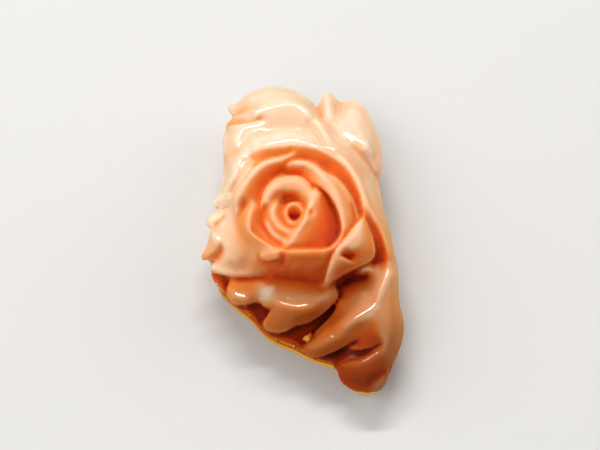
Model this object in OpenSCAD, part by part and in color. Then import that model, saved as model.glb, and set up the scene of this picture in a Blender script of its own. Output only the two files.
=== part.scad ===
// Carved coral brooch: a rose among its leaves, cut from one piece of coral,
// seated in a low gold openwork frame that carries a plain pin behind it.
// Millimetres. +Z is up with the brooch lying on its back, +Y runs along its length
// towards the back leaf, and the origin is under the middle of it, on the surface.

/* [Coral] */
// Height of the coral's flat underside above the surface
seat_z = 3.6; // [3.5:0.1:4]
// Thickness of a leaf at its tip
leaf_thick = 1.5; // [1.2:0.1:1.8]
// How much thicker a leaf is where it grows out of the carving
root_thick = 6; // [5:0.5:7]
// Share of its thickness that a leaf keeps along its edge
edge_share = 0.5; // [0.3:0.05:0.8]
// Radius of the ring round the bud's hole, at its crest
bud_r = 1.3; // [1.1:0.1:1.5]
// Radius of the hole in the bud
bud_hole_r = 0.8; // [0.5:0.05:0.9]
// Depth of the hole in the bud
bud_hole_depth = 2.2; // [1:0.2:3]

/* [Gold frame] */
// Width of the flat wire that the brooch rests on
rim_w = 1.1; // [0.9:0.1:1.4]
// Height of that wire, and of the one under the coral
rim_h = 0.8; // [0.6:0.1:1]
// Share of the seat's length that the frame stands under
frame_share = 0.95; // [0.92:0.01:0.96]
// How far the frame stands in from the edge of the coral's seat
frame_inset = 0.5; // [0.4:0.1:0.8]
// Radius of a post between the two wires
post_r = 0.4; // [0.3:0.05:0.5]
// Distance from post to post
post_pitch = 2.6; // [2.2:0.1:3.4]
// Thickness of a claw
claw_thick = 0.7; // [0.6:0.1:0.8]

/* [Pin] */
// Radius of the pin stem
stem_r = 0.4; // [0.35:0.05:0.5]
// Length of the pin stem from hinge to point
stem_length = 26; // [24:1:27]
// Height of the stem's middle above the surface
stem_z = 1.15; // [1.1:0.05:1.2]

/* [Finish of curves] */
// Stations along a leaf
lobe_rows = 9; // [6:1:10]
// Points across a leaf
lobe_columns = 8; // [4:2:8]
// Stations in each quarter turn of a rose petal
petal_steps = 6; // [4:1:7]

/* [Hidden] */

up = [0, 0, 1];
// Brings the middle of the brooch over the origin
shift = [-0.07, -0.74, 0];
fit_gap = 0.1;

function ease(t) = t * t * (3 - 2 * t);
function mix(a, b, t) = a + (b - a) * t;
function unit(v) = v / norm(v);
function bezier(a, b, c, t) = a * pow(1 - t, 2) + b * 2 * t * (1 - t) + c * pow(t, 2);
function bezier_way(a, b, c, t) = unit((b - a) * (1 - t) + (c - b) * t);
// The control value that makes the curve pass through the middle value
function control(row) = 2 * row[1] - (row[0] + row[2]) / 2;
function through(row, t) = bezier(row[0], control(row), row[2], t);

// The coral's seat and the block above it, a station each from the near end to the far end.
SEAT_Y = 0;      // place along the brooch
SEAT_LEFT = 1;   // left edge
SEAT_RIGHT = 2;  // right edge
SEAT_TOP = 3;    // height of the block over the station
SEAT_SLOPE = 4;  // how far the block's sides lean in on the way up
seats = [
    [-23.2,   7.4,  9.9,  4.6, 0.8],
    [-22.0,   6.0, 11.0,  4.9, 1.4],
    [-20.2,   5.3, 11.8,  5.2, 1.6],
    [-19.1,   4.5, 12.2,  5.4, 2.2],
    [-18.2,   1.6, 12.7,  5.6, 2.6],
    [-16.4,  -1.0, 12.9,  5.8, 3.0],
    [-15.2,  -3.8, 12.9,  5.9, 3.0],
    [-13.6,  -5.4, 12.9,  6.1, 3.0],
    [-11.4,  -6.9, 12.8,  6.6, 3.2],
    [ -8.4, -10.2, 12.6,  7.6, 3.4],
    [ -5.4, -12.0, 12.4,  9.0, 3.8],
    [  0.0, -12.2, 11.9,  9.6, 3.4],
    [  6.0, -11.0, 11.2,  9.6, 3.2],
    [ 12.0, -10.3, 10.8,  8.4, 3.0],
    [ 18.0,  -9.9, 10.2,  6.8, 2.6],
    [ 22.8,  -7.0,  8.0,  5.4, 2.0]
];

// Leaves and outer petals, a row each.
LOBE_NAME = 0;   // what it is on the carving
LOBE_ROOT = 1;   // where it grows from
LOBE_TIP = 2;    // where its tip lies
LOBE_ARCH = 3;   // how far its middle line rises above the straight line between them
LOBE_BEND = 4;   // how far its middle line bends to its right
LOBE_WIDTH = 5;  // its greatest width
LOBE_DROOP = 6;  // how far its side edges hang below its middle line
LOBE_POINT = 7;  // 0.4 is a blunt tip and 1 a sharp one
lobes = [
    ["back leaf",         [-2.4, 7.8, 12.6],  [-3.7, 25.7, 7.0],   1.8,  0.0, 12.4, 1.6, 0.45],
    ["back leaf corner",  [-3.4, 9.8, 12.4],  [-10.0, 15.8, 6.6],  1.0,  0.0,  9.2, 0.8, 0.34],
    ["back leaf fold",    [-5.0, 16.5, 9.6],  [-10.7, 20.4, 5.8],  0.4,  0.0,  4.4, 0.4, 0.50],
    ["back leaf nub",     [-7.0, 20.8, 7.4],  [-10.5, 23.4, 6.2],  0.2,  0.0,  2.2, 0.2, 0.50],
    ["long tooth",        [-4.6, 9.2, 12.2],  [-11.9, 4.6, 6.0],   0.9,  0.0,  4.6, 1.0, 0.80],
    ["small tooth",       [-8.4, 4.0, 8.8],   [-13.2, 1.6, 6.3],   0.3,  0.0,  3.2, 0.4, 0.50],
    ["turned-up tooth",   [-7.4, 2.2, 9.2],   [-13.4, -4.1, 6.2],  0.2, -0.3,  3.6, 0.6, 0.75],
    ["left outer petal",  [-2.4, -3.4, 10.4], [-12.3, -6.2, 7.0],  0.5,  0.0,  7.0, 0.2, 0.40],
    ["front leaf left",   [-2.4, -6.8, 8.6],  [-10.2, -10.1, 5.6], 0.7,  0.0,  5.2, 0.5, 0.40],
    ["front leaf right",  [4.4, -5.8, 8.8],   [-3.5, -15.5, 4.9],  1.8, -0.5,  8.6, 1.0, 0.40],
    ["end leaf nose",     [10.2, -6.6, 8.6],  [0.3, -18.3, 4.9],   1.4,  0.0,  7.4, 0.8, 0.48],
    ["end leaf side",     [9.8, -2.0, 9.6],   [12.0, -20.4, 4.8],  1.8,  0.5,  6.0, 1.8, 0.45],
    ["end leaf fold",     [11.0, -13.6, 6.4], [6.1, -18.9, 5.8],   0.6,  0.0,  3.2, 0.3, 0.50],
    ["end leaf cup",      [9.6, -14.6, 5.8],  [8.1, -24.2, 4.5],   1.0,  0.0,  7.0, 1.0, 0.34],
    ["end leaf lip",      [10.0, -18.6, 5.2], [11.0, -22.8, 4.2],  0.2,  0.0,  2.8, 0.3, 0.50],
    ["far leaf narrow",   [3.2, 10.5, 10.4],  [3.9, 24.9, 6.6],    1.1,  0.0,  3.8, 0.7, 0.60],
    ["far leaf broad",    [7.0, 6.0, 10.8],   [7.6, 24.5, 6.2],    1.5, -0.3,  8.0, 1.6, 0.40],
    ["right petal upper", [2.4, 4.0, 12.0],   [11.9, 5.4, 6.4],    1.6,  0.0, 11.0, 0.8, 0.36],
    ["right petal lower", [5.0, -2.0, 11.4],  [12.9, -3.4, 5.9],   1.5,  0.0, 10.0, 0.8, 0.40]
];

// Rose petals, a row each, in places measured from the rose's middle.
rose_middle = [-0.6, -1.5, 0];
PETAL_NAME = 0;    // what it is on the rose
PETAL_CENTRE = 1;  // centre of its arc
PETAL_FROM = 2;    // azimuth where its crest starts, in degrees
PETAL_TO = 3;      // azimuth where its crest ends
PETAL_R = 4;       // crest radius at its start, middle and end
PETAL_Z = 5;       // crest height at its start, middle and end
PETAL_IN = 6;      // width of the lip inside the crest, and how far it dips
PETAL_OUT = 7;     // width of the lip outside the crest, and how far it dips
PETAL_FOOT = 8;    // how far its outer foot stands out past its outer lip
petals = [
    ["bud wrap",      [0, 0],     128, 276, [3, 3.6, 3.1], [13.2, 13.5, 12.8], [0.6, 0.4], [0.35, 0.5], 0.5],
    ["arch",          [0, 0],      44, 182, [4, 5.3, 4.4], [13.4, 14.3, 13.2], [1.7, 0.9], [0.35, 0.4], 0.2],
    ["straight fold", [-14, 4.9], -39,  -3, [17, 16.6, 16.6], [13, 14.4, 13.6], [0.5, 0.4], [1.2, 0.5], 2.4],
    ["right petal",   [0, 0],     -36,  98, [8.2, 6.6, 7.4], [13.4, 14.6, 14], [1.7, 0.5], [0.35, 0.5], 0.1],
    ["left petal",    [0, 0],      92, 180, [9.1, 8.1, 8], [13.8, 14.6, 13], [2, 1.4], [0.35, 0.5], 0.3],
    ["lower petal",   [0, 0],     172, 257, [5.4, 6.9, 7.1], [12.8, 13.9, 13.4], [1.3, 0.8], [0.35, 0.5], 0.5],
    ["front petal",   [1.1, 12.5], 256, 285, [19, 19.3, 19], [13.8, 14.6, 13.8], [0.5, 0.3], [0.6, 0.6], 0.3],
    ["turned petal",  [0, 0],     -67,  -8, [10, 8.4, 9.1], [11.2, 14.2, 14.2], [0.4, 0.3], [1.6, 0.7], 1.6],
    ["outer cup",     [0, 0],     -14, 130, [9.2, 10, 11.9], [13.2, 13.9, 12.6], [0.4, 0.4], [1.8, 0.7], 2.4]
];
petal_foot_z = 7.5;
bud_top = 13.3;
bud_foot_r = 2.3;

// Claws that hold the coral's edge, a row each.
CLAW_NEAR = 0;  // the place on the frame that it stands nearest to
CLAW_W = 1;     // its width
CLAW_TOP = 2;   // height of its point
claws = [
    [[0.6, -16.4],  1.5, 5.9],
    [[-11.0, -7.6], 1.3, 5.0],
    [[-11.0, 9.6],  1.3, 5.0],
    [[-2.0, 22.0],  1.3, 5.0],
    [[11.0, 13.0],  1.3, 5.0],
    [[12.6, -11.0], 1.3, 5.0]
];

// The seat's edge as a smooth closed line: its corners are cut off twice.
seat_corners = concat(
    [for (s = seats) [s[SEAT_RIGHT], s[SEAT_Y]]],
    [for (i = [len(seats) - 1:-1:0]) [seats[i][SEAT_LEFT], seats[i][SEAT_Y]]]
);
function cut_corners(line) = [for (i = [0:len(line) - 1], t = [0.25, 0.75])
    mix(line[i], line[(i + 1) % len(line)], t)];
seat_line = cut_corners(cut_corners(seat_corners));
function inward(line, i) =
    let (n = len(line), way = unit(line[(i + 1) % n] - line[(i + n - 1) % n]))
    [-way[1], way[0]];
function inset(line, d) = [for (i = [0:len(line) - 1]) line[i] + inward(line, i) * d];
frame_line = [for (p = inset(seat_line, frame_inset)) [p[0], p[1] * frame_share]];

// A closed skin over a grid of top points and a matching grid of bottom points.
module skin(top, bottom) {
    rows = len(top);
    columns = len(top[0]);
    half = rows * columns;
    function at(i, j) = i * columns + j;
    sheet = [for (i = [0:rows - 2], j = [0:columns - 2])
        [at(i, j), at(i + 1, j), at(i + 1, j + 1), at(i, j + 1)]];
    under = [for (face = sheet) [for (k = [3:-1:0]) face[k] + half]];
    rim = concat(
        [for (j = [0:columns - 2]) at(0, j)],
        [for (i = [0:rows - 2]) at(i, columns - 1)],
        [for (j = [columns - 1:-1:1]) at(rows - 1, j)],
        [for (i = [rows - 1:-1:1]) at(i, 0)]
    );
    turns = len(rim);
    wall = [for (k = [0:turns - 1])
        [rim[k], rim[(k + 1) % turns], rim[(k + 1) % turns] + half, rim[k] + half]];
    points = concat([for (row = top, p = row) p], [for (row = bottom, p = row) p]);
    polyhedron(points, concat(sheet, under, wall), convexity = 6);
}

// Half width of a leaf at a share t of its length, as a share of its greatest half width
root_share = 0.75;
widest_at = 0.5;
tip_share = 0.0004;
lift = 0.4;
function lobe_spread(t, point) = t < widest_at
    ? mix(root_share, 1, ease(t / widest_at))
    : pow(max(tip_share, 1 - pow((t - widest_at) / (1 - widest_at), 2)), point);

module lobe(row) {
    a = row[LOBE_ROOT];
    c = row[LOBE_TIP];
    right = unit(cross(c - a, up));
    b = (a + c) / 2 + up * 2 * row[LOBE_ARCH] + right * 2 * row[LOBE_BEND];
    stations = [for (i = [0:lobe_rows]) sin(90 * i / lobe_rows)];
    shares = [for (j = [0:lobe_columns]) mix(-1, 1, j / lobe_columns)];
    function side(t) = unit(cross(bezier_way(a, b, c, t), up));
    function over(t) = cross(side(t), bezier_way(a, b, c, t));
    function spread(t) = lobe_spread(t, row[LOBE_POINT]);
    function top(t, s) = bezier(a, b, c, t)
        + side(t) * s * spread(t) * row[LOBE_WIDTH] / 2
        - over(t) * row[LOBE_DROOP] * pow(s * spread(t), 2);
    function under(t, s) = top(t, s) - over(t) * leaf_thick * mix(1, edge_share, s * s)
        - up * root_thick * (1 - t);
    function kept(p) = [p[0], p[1], max(p[2], seat_z + lift)];
    skin(
        [for (t = stations) [for (s = shares) top(t, s)]],
        [for (t = stations) [for (s = shares) kept(under(t, s))]]
    );
}

// A petal of the rose: its outline swept round its own centre.
hollow_in = 0.35;
end_drop = 1.1;
foot_in = 0.2;
module petal(row) {
    steps = max(4, round(petal_steps * abs(row[PETAL_TO] - row[PETAL_FROM]) / 90));
    in_w = row[PETAL_IN][0];
    in_dip = row[PETAL_IN][1];
    out_w = row[PETAL_OUT][0];
    out_dip = row[PETAL_OUT][1];
    foot = row[PETAL_FOOT] - foot_in;
    function crest_z(t) = through(row[PETAL_Z], t) - end_drop * pow(2 * t - 1, 6);
    function outline(r, z) = [
        [r - in_w - 2 * hollow_in, petal_foot_z],
        [r - in_w - hollow_in, mix(petal_foot_z, z - in_dip, 0.6)],
        [r - in_w, z - in_dip],
        [r - 0.4 * in_w, z - 0.25 * in_dip],
        [r, z],
        [r + 0.6 * out_w, z - 0.4 * out_dip],
        [r + out_w, z - out_dip],
        [r + out_w + 0.5 * foot, mix(petal_foot_z, z - out_dip, 0.6)],
        [r + out_w + foot, petal_foot_z]
    ];
    rings = [for (k = [0:steps])
        let (t = k / steps, az = mix(row[PETAL_FROM], row[PETAL_TO], t))
        [for (p = outline(through(row[PETAL_R], t), crest_z(t)))
            rose_middle + concat(row[PETAL_CENTRE] + p[0] * [cos(az), sin(az)], [p[1]])]];
    sides = len(rings[0]);
    function at(k, j) = k * sides + j % sides;
    points = [for (ring = rings, p = ring) p];
    wall = [for (k = [0:steps - 1], j = [0:sides - 1])
        [at(k, j), at(k + 1, j), at(k + 1, j + 1), at(k, j + 1)]];
    start = [[for (j = [0:sides - 1]) at(0, j)]];
    end = [[for (j = [sides - 1:-1:0]) at(steps, j)]];
    polyhedron(points, concat(wall, start, end), convexity = 6);
}

module bud() {
    translate(rose_middle) difference() {
        translate([0, 0, petal_foot_z])
            cylinder(h = bud_top - petal_foot_z, r1 = bud_foot_r, r2 = bud_r, $fn = 20);
        translate([0, 0, bud_top - bud_hole_depth])
            cylinder(h = bud_hole_depth + 1, r = bud_hole_r, $fn = 14);
    }
}

// One station of the block: a thin slab at the seat and a narrower one at its top.
slab = 0.2;
shoulder_z = 1.6;
module station(row) {
    lean = row[SEAT_SLOPE];
    translate([row[SEAT_LEFT], row[SEAT_Y], seat_z])
        cube([row[SEAT_RIGHT] - row[SEAT_LEFT], slab, shoulder_z]);
    translate([row[SEAT_LEFT] + lean, row[SEAT_Y], row[SEAT_TOP] - slab])
        cube([max(slab, row[SEAT_RIGHT] - row[SEAT_LEFT] - 2 * lean), slab, slab]);
}

module block() {
    for (i = [0:len(seats) - 2]) hull() {
        station(seats[i]);
        station(seats[i + 1]);
    }
}

module coral_carving() {
    color("lightsalmon") difference() {
        union() {
            block();
            for (row = lobes) lobe(row);
            for (row = petals) petal(row);
            bud();
        }
        for (row = claws) claw(row, fit_gap);
    }
}

// A claw: a pointed plate that stands on the frame and leans in over the coral's edge.
claw_lean = 12;
claw_foot_z = 2.6;
claw_out = 0.5;
claw_shape = [[-0.5, 0], [0.5, 0], [0.5, 0.55], [0.24, 0.86], [0, 1], [-0.24, 0.86], [-0.5, 0.55]];
function nearest(line, p) =
    let (far = [for (q = line) norm(q - p)], least = min(far))
    [for (i = [0:len(line) - 1]) if (far[i] == least) i][0];
module claw(row, room) {
    i = nearest(frame_line, row[CLAW_NEAR]);
    way = inward(frame_line, i);
    w = row[CLAW_W] + 2 * room;
    h = row[CLAW_TOP] - claw_foot_z + 2 * room;
    translate([frame_line[i][0], frame_line[i][1], claw_foot_z - room])
        rotate([0, 0, atan2(way[1], way[0])])
        rotate([0, claw_lean, 0])
        translate([-claw_out - room, 0, 0])
        rotate([90, 0, 90])
        linear_extrude(claw_thick + 2 * room)
        polygon([for (p = claw_shape) [p[0] * w, p[1] * h]]);
}

module rim(z, h) {
    translate([0, 0, z]) linear_extrude(h) difference() {
        polygon(frame_line);
        polygon(inset(frame_line, rim_w));
    }
}

// Length along a closed line up to each of its points
function step(line, i) = norm(line[(i + 1) % len(line)] - line[i % len(line)]);
function lengths(line, i = 0, sum = 0) = i > len(line)
    ? []
    : concat([sum], lengths(line, i + 1, sum + step(line, i)));
function place(line, along, marks, i = 0) = marks[i + 1] >= along
    ? mix(line[i], line[(i + 1) % len(line)], (along - marks[i]) / (marks[i + 1] - marks[i]))
    : place(line, along, marks, i + 1);

module posts() {
    line = inset(frame_line, rim_w / 2);
    marks = lengths(line);
    count = round(marks[len(line)] / post_pitch);
    for (k = [0:count - 1])
        translate(concat(place(line, marks[len(line)] * k / count, marks), [rim_h / 2]))
            cylinder(h = seat_z - rim_h - fit_gap, r = post_r, $fn = 16);
}

// Bridges across the back that carry the pin.
bridge_w = 2.2;
bridge_h = 1;
pin_x = 1.5;
hinge_y = 12.5;
catch_y = hinge_y - stem_length + 1;
module bridges() {
    intersection() {
        translate([0, 0, seat_z - fit_gap - bridge_h]) linear_extrude(bridge_h)
            polygon(inset(frame_line, rim_w / 2));
        for (y = [hinge_y, catch_y])
            translate([-20, y - bridge_w / 2, 0]) cube([40, bridge_w, seat_z]);
    }
}

module gallery_frame() {
    color("gold") union() {
        rim(0, rim_h);
        rim(seat_z - fit_gap - rim_h, rim_h);
        posts();
        bridges();
        for (row = claws) claw(row, 0);
    }
}

// The pin: a stem between a hinge block and a catch, fixed under the two bridges.
plate_h = 0.6;
plate_w = 3;
hinge_r = 0.75;
hinge_w = 2.6;
catch_r = 1;
catch_w = 1.4;
plate_z = seat_z - fit_gap - bridge_h - fit_gap - plate_h;
neck_h = plate_z + plate_h / 2 - stem_z;
module pin_clasp() {
    color("goldenrod") union() {
        for (y = [hinge_y, catch_y])
            translate([pin_x - plate_w / 2, y - bridge_w / 2, plate_z]) cube([plate_w, bridge_w, plate_h]);
        translate([pin_x - hinge_w / 2, hinge_y, stem_z])
            rotate([0, 90, 0]) cylinder(h = hinge_w, r = hinge_r, $fn = 24);
        translate([pin_x - hinge_w / 2, hinge_y - hinge_r, stem_z])
            cube([hinge_w, 2 * hinge_r, neck_h]);
        translate([pin_x, hinge_y, stem_z])
            rotate([90, 0, 0]) cylinder(h = stem_length, r = stem_r, $fn = 20);
        translate([pin_x, catch_y + catch_w / 2, stem_z])
            rotate([90, 0, 0]) cylinder(h = catch_w, r = catch_r, $fn = 24);
        translate([pin_x - stem_r, catch_y - catch_w / 2, stem_z])
            cube([2 * stem_r, catch_w, neck_h]);
    }
}

translate(shift) coral_carving();
translate(shift) gallery_frame();
translate(shift) pin_clasp();
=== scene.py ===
# %% [markdown]
# # A carved coral brooch
# The real brooch is one piece of salmon-coloured coral, cut as a rose among curling leaves and
# polished. It sits on a low gold frame with a pin behind it.
# The solid model has the main masses at their true sizes. This lesson dresses it: the coral gets its
# carving and its colours, and the metal gets soft edges and a finish.
# Everything stays in the solid model's frame, so that model is loaded and measured first.

# %% Load the solid model
import math
import bmesh
import bpy
import numpy as np
from mathutils import Matrix, Vector


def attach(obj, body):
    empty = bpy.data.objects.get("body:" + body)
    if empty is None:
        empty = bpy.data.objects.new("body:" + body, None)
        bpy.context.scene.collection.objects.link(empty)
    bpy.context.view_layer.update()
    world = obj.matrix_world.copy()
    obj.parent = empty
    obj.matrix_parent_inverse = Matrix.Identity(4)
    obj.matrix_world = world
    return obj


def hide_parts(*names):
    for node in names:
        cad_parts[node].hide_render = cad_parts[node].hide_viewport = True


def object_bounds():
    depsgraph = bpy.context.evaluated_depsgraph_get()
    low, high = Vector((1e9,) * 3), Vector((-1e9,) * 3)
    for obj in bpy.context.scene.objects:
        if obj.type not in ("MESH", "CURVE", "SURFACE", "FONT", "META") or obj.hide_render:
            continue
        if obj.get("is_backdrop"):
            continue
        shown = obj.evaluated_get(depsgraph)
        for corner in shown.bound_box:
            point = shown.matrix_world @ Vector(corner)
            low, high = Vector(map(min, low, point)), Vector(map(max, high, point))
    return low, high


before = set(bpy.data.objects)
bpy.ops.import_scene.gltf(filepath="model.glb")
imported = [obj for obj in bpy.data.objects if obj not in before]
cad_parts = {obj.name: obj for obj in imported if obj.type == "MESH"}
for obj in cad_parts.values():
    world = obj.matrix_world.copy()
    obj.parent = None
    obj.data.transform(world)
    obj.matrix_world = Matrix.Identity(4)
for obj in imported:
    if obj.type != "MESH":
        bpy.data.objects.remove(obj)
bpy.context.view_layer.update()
MM = 0.001

# %% [markdown]
# ## The point of view
# A carver draws the design on the block before cutting it. Here the drawing is made as it is seen
# from the camera, so the camera comes first. It looks down at 54 degrees from the near end of the brooch.
# A place in the drawing has two numbers, across and down, out of 600 by 450. A third number is its
# height above the surface that the brooch lies on, in mm, and with it the place is a point in space.

# %% The eye
# lengths are in mm here, and become metres where an object gets them
ELEVATION = math.radians(54)
LOOK_AT = Vector((-0.07, -0.74, 8.0))
DISTANCE = 180
BACK = Vector((0, -math.cos(ELEVATION), math.sin(ELEVATION)))
TOWARDS_TOP = Vector((0, math.sin(ELEVATION), math.cos(ELEVATION)))
EYE = LOOK_AT + BACK * DISTANCE
print("the eye is at, mm:", [round(v, 1) for v in EYE])

# %% Camera
PICTURE_WIDE, PICTURE_TALL = 600, 450
# how far the eye is from the picture, in places of the drawing
FOCUS = 1332
SENSOR = 36
# nothing nearer or further than this, in m, is seen
SEEN_FROM, SEEN_TO = 0.01, 5


def add_object(name, data):
    """A new object in the scene, at the origin."""
    added = bpy.data.objects.new(name, data)
    bpy.context.scene.collection.objects.link(added)
    return added


def facing(direction):
    """How a camera or a lamp is turned when it looks this way, with its top up."""
    return direction.to_track_quat("-Z", "Y").to_euler()


camera = add_object("camera", bpy.data.cameras.new("camera"))
camera.location = EYE * MM
camera.rotation_euler = facing(-BACK)
camera.data.sensor_width = SENSOR
camera.data.lens = FOCUS / PICTURE_WIDE * SENSOR
camera.data.clip_start = SEEN_FROM
camera.data.clip_end = SEEN_TO
bpy.context.scene.camera = camera
print(f"lens {camera.data.lens:.1f} mm, {DISTANCE} mm from the brooch")


# %% Between the drawing and the block
def drawing_place(points):
    """Where points in mm are seen in the drawing."""
    ray = points - np.array(EYE)
    depth = -ray @ np.array(BACK)
    across = PICTURE_WIDE / 2 + FOCUS * ray[:, 0] / depth
    down = PICTURE_TALL / 2 - FOCUS * (ray @ np.array(TOWARDS_TOP)) / depth
    return across, down


def block_points(across, down, height):
    """The points in mm that are seen at these places of the drawing and lie at these heights."""
    sideways = np.outer((across - PICTURE_WIDE / 2) / FOCUS, (1, 0, 0))
    upwards = np.outer((PICTURE_TALL / 2 - down) / FOCUS, np.array(TOWARDS_TOP))
    ray = sideways + upwards - np.array(BACK)
    return np.array(EYE) + ray * ((height - EYE.z) / ray[:, 2])[:, None]


middle = block_points(np.array([PICTURE_WIDE / 2]), np.array([PICTURE_TALL / 2]), 0)
print("the drawing's middle on the floor, mm:", middle.round(2))

# %% [markdown]
# ## The drawing
# The carving could be sculpted by hand with brushes, but a script has no hand. It could also be built
# petal by petal from curved plates, but real petals of one block run into each other without a seam.
# So it is drawn the way a relief carver plans it, with three kinds of line:
# - A guide runs along a ridge or a valley and gives its height.
# - An edge is a drop, with one height on its left side and another on its right.
# - A cloud gives no height, only a tone of the coral.
#
# Every line also has tones, from 0 for the deep red-brown of a thick shaded place to 1 for the cream
# of a thin bright one. The tones hold painted light and shade as well as the coral's own colour: hollows
# and faces turned from the lamps are painted darker, and lit crests paler. A guide and a cloud go from
# the first tone to the second along their length, and an edge has one on each side.

# %% Three kinds of line
guides, edges, clouds = {}, {}, {}


def guide(name, tones, line):
    """Tones at the start and the end. Each point is across, down, height."""
    guides[name] = (tones, line)


def edge(name, tones, line):
    """Tones on the left and the right. Each point is across, down, height on the left and on the right."""
    edges[name] = (tones, line)


def cloud(name, tones, line):
    """Tones at the start and the end. Each point is across, down."""
    clouds[name] = (tones, line)


def count_lines(place):
    print(f"{place}: {len(guides)} guides, {len(edges)} edges and {len(clouds)} clouds so far")


count_lines("an empty drawing")

# %% [markdown]
# ### The outline
# The coral's outline is leaf after leaf, with a notch where two of them meet and small teeth on the
# left, where the leaves curl. It starts at the far left and goes round clockwise.

# %% The outline
OUTLINE = [
    # across, down, height
    (239, 101, 7.2), (243, 96.5, 6.9), (250, 92, 6.7), (260, 88, 6.6), (268, 86, 6.6), (277, 86, 6.6),
    (288, 88, 6.7), (298, 91.5, 6.8), (306, 96, 7), (313, 102, 7.4), (317.5, 107, 7.8),
    (319.5, 100, 7), (323, 93.5, 6.7), (327, 91.5, 6.6), (331, 92.5, 6.6), (336, 97, 6.6),
    (339.5, 101.5, 6.8), (344, 99, 6.3), (350, 99.5, 6.2), (356, 99.5, 6.2), (361, 102, 6.2),
    (366, 108, 6.3), (371, 117, 6.4), (376, 128, 6.5), (380, 140, 6.6), (382, 150, 6.7),
    (383, 162, 6.8), (382, 172, 6.9), (379.5, 181, 7.1), (380, 188, 7.2), (382, 197, 7.2),
    (385.5, 215, 7), (391, 235, 6.7), (395.5, 255, 6.4), (398.5, 270, 6.1), (399, 285, 5.9),
    (400, 302, 5.6), (404, 320, 5.3), (404.5, 330, 5.2), (403, 340, 5), (400, 350, 4.9),
    (396, 358, 4.7), (391, 366, 4.5), (388, 371, 4.5), (389, 376, 4.3), (387, 383, 4.1), (382, 390, 4),
    (375, 393, 3.9), (365, 393.5, 3.8), (355, 392, 3.8), (348, 389, 3.8), (342, 385, 3.8),
    (338, 378, 3.9), (336, 371, 4), (330, 366.5, 3.7), (320, 363.5, 3.7), (312, 360.5, 3.7),
    (306, 356.5, 3.9), (303.5, 353, 4.4), (302.5, 349, 4.6), (304, 345, 4.6), (300, 344, 3.7),
    (290, 341.5, 3.7), (280, 339, 3.7), (270, 335, 3.7), (262, 330, 3.7), (257.5, 323, 3.7),
    (254, 319, 3.7), (244, 314, 3.7), (234, 308, 3.7), (228, 302.5, 3.8), (225, 296, 3.9),
    (222, 289.5, 3.8), (215, 284, 3.8), (211.5, 278, 4.2), (210, 272, 5.6), (209.5, 269, 6.6),
    (211, 265, 6.7), (214, 261.5, 6.8), (217.5, 259.8, 7), (213, 260.5, 6.4), (207, 260.3, 6.2),
    (202, 259, 6.1), (200, 257, 6.1), (202, 253, 6.3), (205.5, 247, 6.6), (207.5, 240, 6.8),
    (209.5, 233, 7), (211, 228, 7.2), (206.5, 226.2, 6.4), (204.3, 223.5, 6.3), (206, 219, 6.3),
    (210.5, 213, 6.5), (216, 209.8, 6.9), (220.5, 208.6, 7.3), (217, 207.8, 6.4), (213.2, 206.2, 6.2),
    (212, 203.5, 6.2), (215, 197.5, 6.3), (219, 190, 6.4), (222, 180, 6.5), (223.8, 174, 6.6),
    (222.8, 168, 6.6), (224, 160, 6.6), (222.3, 150, 6.6), (222.2, 140, 6.6), (223, 132.5, 6.7),
    (226, 130, 6.9), (225, 126, 6.7), (227, 122, 6.7), (231, 119, 6.9), (233, 116.5, 7),
    (230, 113, 6.5), (227.3, 107.5, 6.4), (228, 103.8, 6.4), (231, 102.3, 6.5), (235, 103.5, 6.8),
]
print("outline:", len(OUTLINE), "points")

# %% [markdown]
# ### The bud
# In the middle of the rose is a bud: a tight ring round a deep hole, and a petal wrapped round the
# ring. The hole is deep red, because little light gets out of it.

# %% The bud
guide("hole floor", (0.14, 0.14), [(291.5, 216, 12), (295, 217.5, 11.8), (298.5, 215, 12)])
guide("hole far wall", (0.34, 0.34), [(289, 210, 12.75), (294, 207.3, 12.85), (299, 209.5, 12.8)])
guide("bud ring", (0.52, 0.52), [
    (294, 204.3, 13.15), (288.5, 206.2, 13.15), (286, 212, 13.1), (287, 219, 13),
    (291.5, 223.5, 12.95), (297.5, 223, 13), (301.5, 217.5, 13.1), (302, 210.5, 13.15),
    (299.3, 205.5, 13.15), (294, 204.3, 13.15),
])
guide("red crescent", (0.25, 0.3), [
    (277.5, 203, 12.45), (282, 199.2, 12.3), (288, 197.3, 12.25), (294.5, 197.8, 12.25),
    (299.5, 200.8, 12.4), (303, 205, 12.6),
])
guide("hollow round the ring", (0.3, 0.3), [
    (280, 205, 12.75), (280.3, 212, 12.65), (283, 219, 12.6), (288, 225.5, 12.7), (295, 226.3, 12.85),
])
guide("wrap crest", (0.66, 0.62), [
    (282, 199, 13), (277, 203, 13.25), (273.5, 209, 13.35), (274, 217, 13.3), (278, 224, 13.2),
    (285, 229.5, 13.1), (292, 231, 13.05),
])
guide("wrap's outer side", (0.5, 0.42), [
    (276, 200.5, 13.2), (271, 205, 13.25), (268.8, 212, 13.2), (270, 221, 13), (274, 228.5, 12.85),
    (280, 234, 12.75), (287, 236.8, 12.75),
])
guide("wrap foot", (0.27, 0.27), [
    (263.5, 207, 12.75), (262.5, 214, 12.45), (263.5, 223, 12.15), (268, 232.5, 11.95),
    (275, 240, 11.9), (282, 244, 12),
])
# a thin painted highlight along the outer foot of the wrap
guide("painted highlight thread", (0.85, 0.9), [
    (266.5, 222, 12.5), (270, 230.5, 12.45), (276.5, 237.8, 12.4), (285, 241.5, 12.4),
])
edge("hole's near edge", (0.45, 0.15), [
    (301, 214, 13, 12.3), (299, 219, 12.95, 11.6), (294, 221.2, 12.9, 11.3),
    (289.5, 218.5, 12.9, 11.6), (288.5, 214, 12.95, 12.2),
])
edge("bud ring's far edge", (0.45, 0.28), [
    (303.5, 208, 13, 12.7), (300, 202.8, 13.1, 12.3), (294, 201.3, 13.1, 12.2),
    (288, 203.2, 13.1, 12.2), (284.5, 208, 13, 12.5),
])
count_lines("bud")

# %% [markdown]
# ### The arch and the fold
# A thick petal arches over the bud on the far side. Another is folded along a slanting line to the
# right of the bud, and behind that fold it is smooth and full.

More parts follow.
